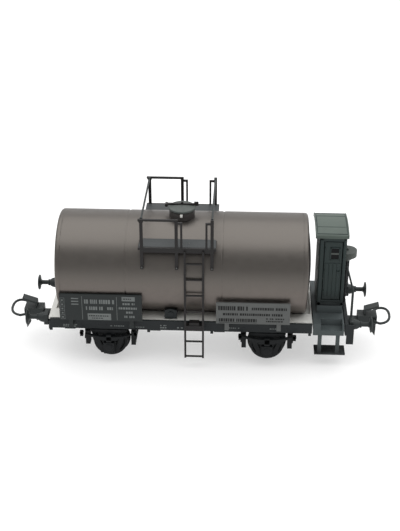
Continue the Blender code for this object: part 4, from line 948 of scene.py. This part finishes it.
def make_cab_door(name, side):
    part = "cab_door_" + name
    wall = abs(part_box("cab_body")[0].y)
    low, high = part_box("cab_door_near")
    inner = side * (wall - 0.12 * MM)
    leaf = soft_block((low.x, high.x), (inner - side * 0.45 * MM, inner), (low.z, high.z), 0.05 * MM)
    knob_x = high.x - 0.4 * MM
    knob_z = low.z + 8.9 * MM
    knob = grown_round(
        [
            (0.0, 0.14 * MM), (0.22 * MM, 0.14 * MM), (0.26 * MM, 0.26 * MM),
            (0.4 * MM, 0.3 * MM), (0.5 * MM, 0.2 * MM),
        ],
        (knob_x, inner, knob_z), (0, side, 0), 16,
    )
    lever = soft_block(
        (knob_x - 0.9 * MM, knob_x), (inner + side * 0.26 * MM, inner + side * 0.42 * MM),
        (knob_z - 0.12 * MM, knob_z + 0.12 * MM), 0.04 * MM,
    )
    shapes = [leaf, knob, lever]
    across_door = (low.x + 0.35 * MM, high.x - 0.35 * MM)
    up_door = (low.z + 0.9 * MM, low.z + 11.4 * MM)
    for across, depth, up in planks(4, across_door, up_door, inner, side * 0.16 * MM):
        shapes.append(soft_block(across, depth, up, 0.05 * MM))
    raised = (inner, inner + side * 0.2 * MM)
    for z in (31.0, 34.6):
        up = (z * MM, (z + WINDOW_FRAME_BAR) * MM)
        shapes.append(soft_block(WINDOW_FRAME, raised, up, 0.04 * MM))
    for x in (36.0, 38.4):
        across = (x * MM, (x + WINDOW_FRAME_BAR) * MM)
        shapes.append(soft_block(across, raised, (31.0 * MM, 34.9 * MM), 0.04 * MM))
    for z in (20.5, 27.0, 34.0):
        hinge = (low.x + 0.1 * MM, side * wall, z * MM)
        shapes.append(grown_round([(0.0, 0.2 * MM), (0.9 * MM, 0.2 * MM)], hinge, (0, 0, 1), 12))
    fit(part + "_boards", shapes, "cab", stands_for=[part])


def make_cab_window(name, side):
    wall = abs(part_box("cab_body")[0].y)
    inner = side * (wall - 0.12 * MM)
    back = side * (wall - 0.5 * MM)
    depth = (back, back + side * 0.43 * MM)
    # The panes are near black: glass, painted dark for the shade inside the cab.
    panes = [
        soft_block(WINDOW_GLASS, depth, (z * MM, (z + 1.45) * MM), 0.05 * MM)
        for z in (31.3, 33.2)
    ]
    fit("cab_window_" + name, panes, "window")
    rail = soft_block(
        WINDOW_GLASS, (inner, inner + side * 0.16 * MM), (32.72 * MM, 33.22 * MM), 0.04 * MM
    )
    fit("cab_window_bar_" + name, [rail], "housing")


def make_cab():
    make_cab_body()
    for name, side in SIDES.items():
        make_cab_door(name, side)
        make_cab_window(name, side)


ROOF_RISE = 1.0 * MM
ROOF_STEPS = 16
ROOF_SEAM = 3.4 * MM


def across_roof(x, reach, lift):
    """Points across the roof at x, out to reach on both sides, on its curve and raised by lift."""
    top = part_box("cab_roof")[1].z
    points = []
    for step in range(ROOF_STEPS + 1):
        share = 2 * step / ROOF_STEPS - 1
        points.append((x, share * reach, top - ROOF_RISE * share**2 + lift))
    return points


def make_roof():
    low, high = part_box("cab_roof")
    shapes = [refined("cab_roof", 0.09 * MM)]
    for x in (low.x + 0.175 * MM, high.x - 0.175 * MM):
        shapes.append(wire(across_roof(x, high.y - 0.1 * MM, -0.08 * MM), 0.19 * MM))
    for side in SIDES.values():
        y = side * (high.y - 0.12 * MM)
        z = low.z + 0.75 * MM
        shapes.append(wire([(low.x, y, z), (high.x, y, z)], 0.17 * MM))
    fit("cab_roof_sheet", shapes, "roof", stands_for=["cab_roof"])
    seams = []
    for y in (-ROOF_SEAM, ROOF_SEAM):
        z = high.z - ROOF_RISE * (y / high.y) ** 2
        along = (low.x + 0.6 * MM, high.x - 0.6 * MM)
        seams.append(soft_block(along, (y, y + 0.16 * MM), (z - 0.3 * MM, z + 0.05 * MM), 0.03 * MM))
    for x in (low.x + 0.49 * MM, high.x - 0.49 * MM):
        seams.append(wire(across_roof(x, high.y - 0.5 * MM, -0.02 * MM), 0.13 * MM))
    for side in SIDES.values():
        y = side * (high.y - 0.7 * MM)
        z = high.z - ROOF_RISE * (y / high.y) ** 2 - 0.04 * MM
        seams.append(wire([(low.x + 0.5 * MM, y, z), (high.x - 0.5 * MM, y, z)], 0.13 * MM))
    fit("cab_roof_seams", seams, "cab")


def make_brake_stand():
    low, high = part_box("crank_housing")
    middle = (low + high) / 2
    shapes = [refined("crank_housing", 0.12 * MM)]
    axis_x = high.x - 2.7 * MM
    knob = grown_round(
        [(0.0, 0.75 * MM), (0.15 * MM, 0.8 * MM), (0.5 * MM, 0.8 * MM), (0.65 * MM, 0.6 * MM)],
        (axis_x, 0.0, low.z - 0.1 * MM), (0, 0, 1), 24,
    )
    shapes.append(knob)
    shapes.append(bolt((axis_x, middle.y, high.z), (0, 0, 1), 0.45 * MM))
    fit("crank_housing_drum", shapes, "housing", stands_for=["crank_housing"])
    fit("brake_spindle_rod", [refined("brake_spindle", 0.04 * MM)], "gear", stands_for=["brake_spindle"])
    for name in SIDES:
        part = "handrail_" + name
        fit(part + "_post", [refined(part, 0.04 * MM)], "coupler", stands_for=[part], smooth=60)


def finish_carried_parts():
    """The parts that stay as they are: their shapes are right, and they get a better finish."""
    kept = {
        "steel": ["axle_left", "axle_right", "coupler_pivot_left", "coupler_pivot_right",
                  "centring_spring_left", "centring_spring_right", "frame_screw_left", "frame_screw_right"],
        "ballast": ["ballast_weight"],
    }
    for finish, names in kept.items():
        for name in names:
            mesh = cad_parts[name].data
            mesh.materials.clear()
            mesh.materials.append(FINISHES[finish])


# Studio: floor, lights and camera.


LAMPS = [
    ("overhead softbox", (0.0, 0.1, 0.9), (2.4, 1.5), 20.0),
    ("rear softbox", (0.2, 1.2, 0.5), (1.6, 0.5), 2.2),
]
LAMPS_AIM = Vector((0.0, 0.0, 0.02))
FLOOR_GREY = 0.5
FLOOR_GLOW = 0.48
SKY_STRENGTH = 0.5


def make_studio():
    deselect_all()
    bpy.ops.mesh.primitive_plane_add(size=6.0, location=(0.0, 1.0, 0.0))
    floor = bpy.context.object
    floor.name = "studio_floor"
    settle(floor)
    white = bpy.data.materials.new("pale floor")
    white.use_nodes = True
    shader = white.node_tree.nodes["Principled BSDF"]
    shader.inputs["Base Color"].default_value = (FLOOR_GREY, FLOOR_GREY, FLOOR_GREY, 1.0)
    shader.inputs["Emission Color"].default_value = (1.0, 1.0, 1.0, 1.0)
    shader.inputs["Emission Strength"].default_value = FLOOR_GLOW
    shader.inputs["Roughness"].default_value = 0.9
    floor.data.materials.append(white)
    for name, place, size, power in LAMPS:
        light = bpy.data.lights.new(name, "AREA")
        light.shape = "RECTANGLE"
        light.size, light.size_y = size
        light.energy = power
        lamp = bpy.data.objects.new(name, light)
        lamp.location = place
        aim = LAMPS_AIM - Vector(place)
        lamp.rotation_euler = aim.to_track_quat("-Z", "Y").to_euler()
        bpy.context.scene.collection.objects.link(lamp)
    world = bpy.data.worlds.new("studio")
    world.use_nodes = True
    sky = world.node_tree.nodes["Background"]
    sky.inputs["Color"].default_value = (1.0, 1.0, 1.0, 1.0)
    sky.inputs["Strength"].default_value = SKY_STRENGTH
    bpy.context.scene.world = world
    bpy.context.scene.view_settings.view_transform = "Standard"


CAMERA_PLACE = (12.69 * MM, -276.78 * MM, 174.40 * MM)
CAMERA_TURN = (math.radians(61.676), 0.0, math.radians(2.615))
FOCAL_LENGTH = 99.95
SENSOR_WIDTH = 36.0


def make_camera():
    lens = bpy.data.cameras.new("camera")
    lens.sensor_fit = "HORIZONTAL"
    lens.sensor_width = SENSOR_WIDTH
    lens.lens = FOCAL_LENGTH
    lens.clip_start = 0.01
    camera = bpy.data.objects.new("camera", lens)
    camera.location = CAMERA_PLACE
    camera.rotation_euler = CAMERA_TURN
    bpy.context.scene.collection.objects.link(camera)
    bpy.context.scene.camera = camera


make_tank()
make_dome()
make_walkways()
make_ladders()
make_signs()
make_underframe()
make_wheels()
make_running_gear()
make_buffers()
make_couplers()
make_platform()
make_cab()
make_roof()
make_brake_stand()
finish_carried_parts()
make_studio()
make_camera()
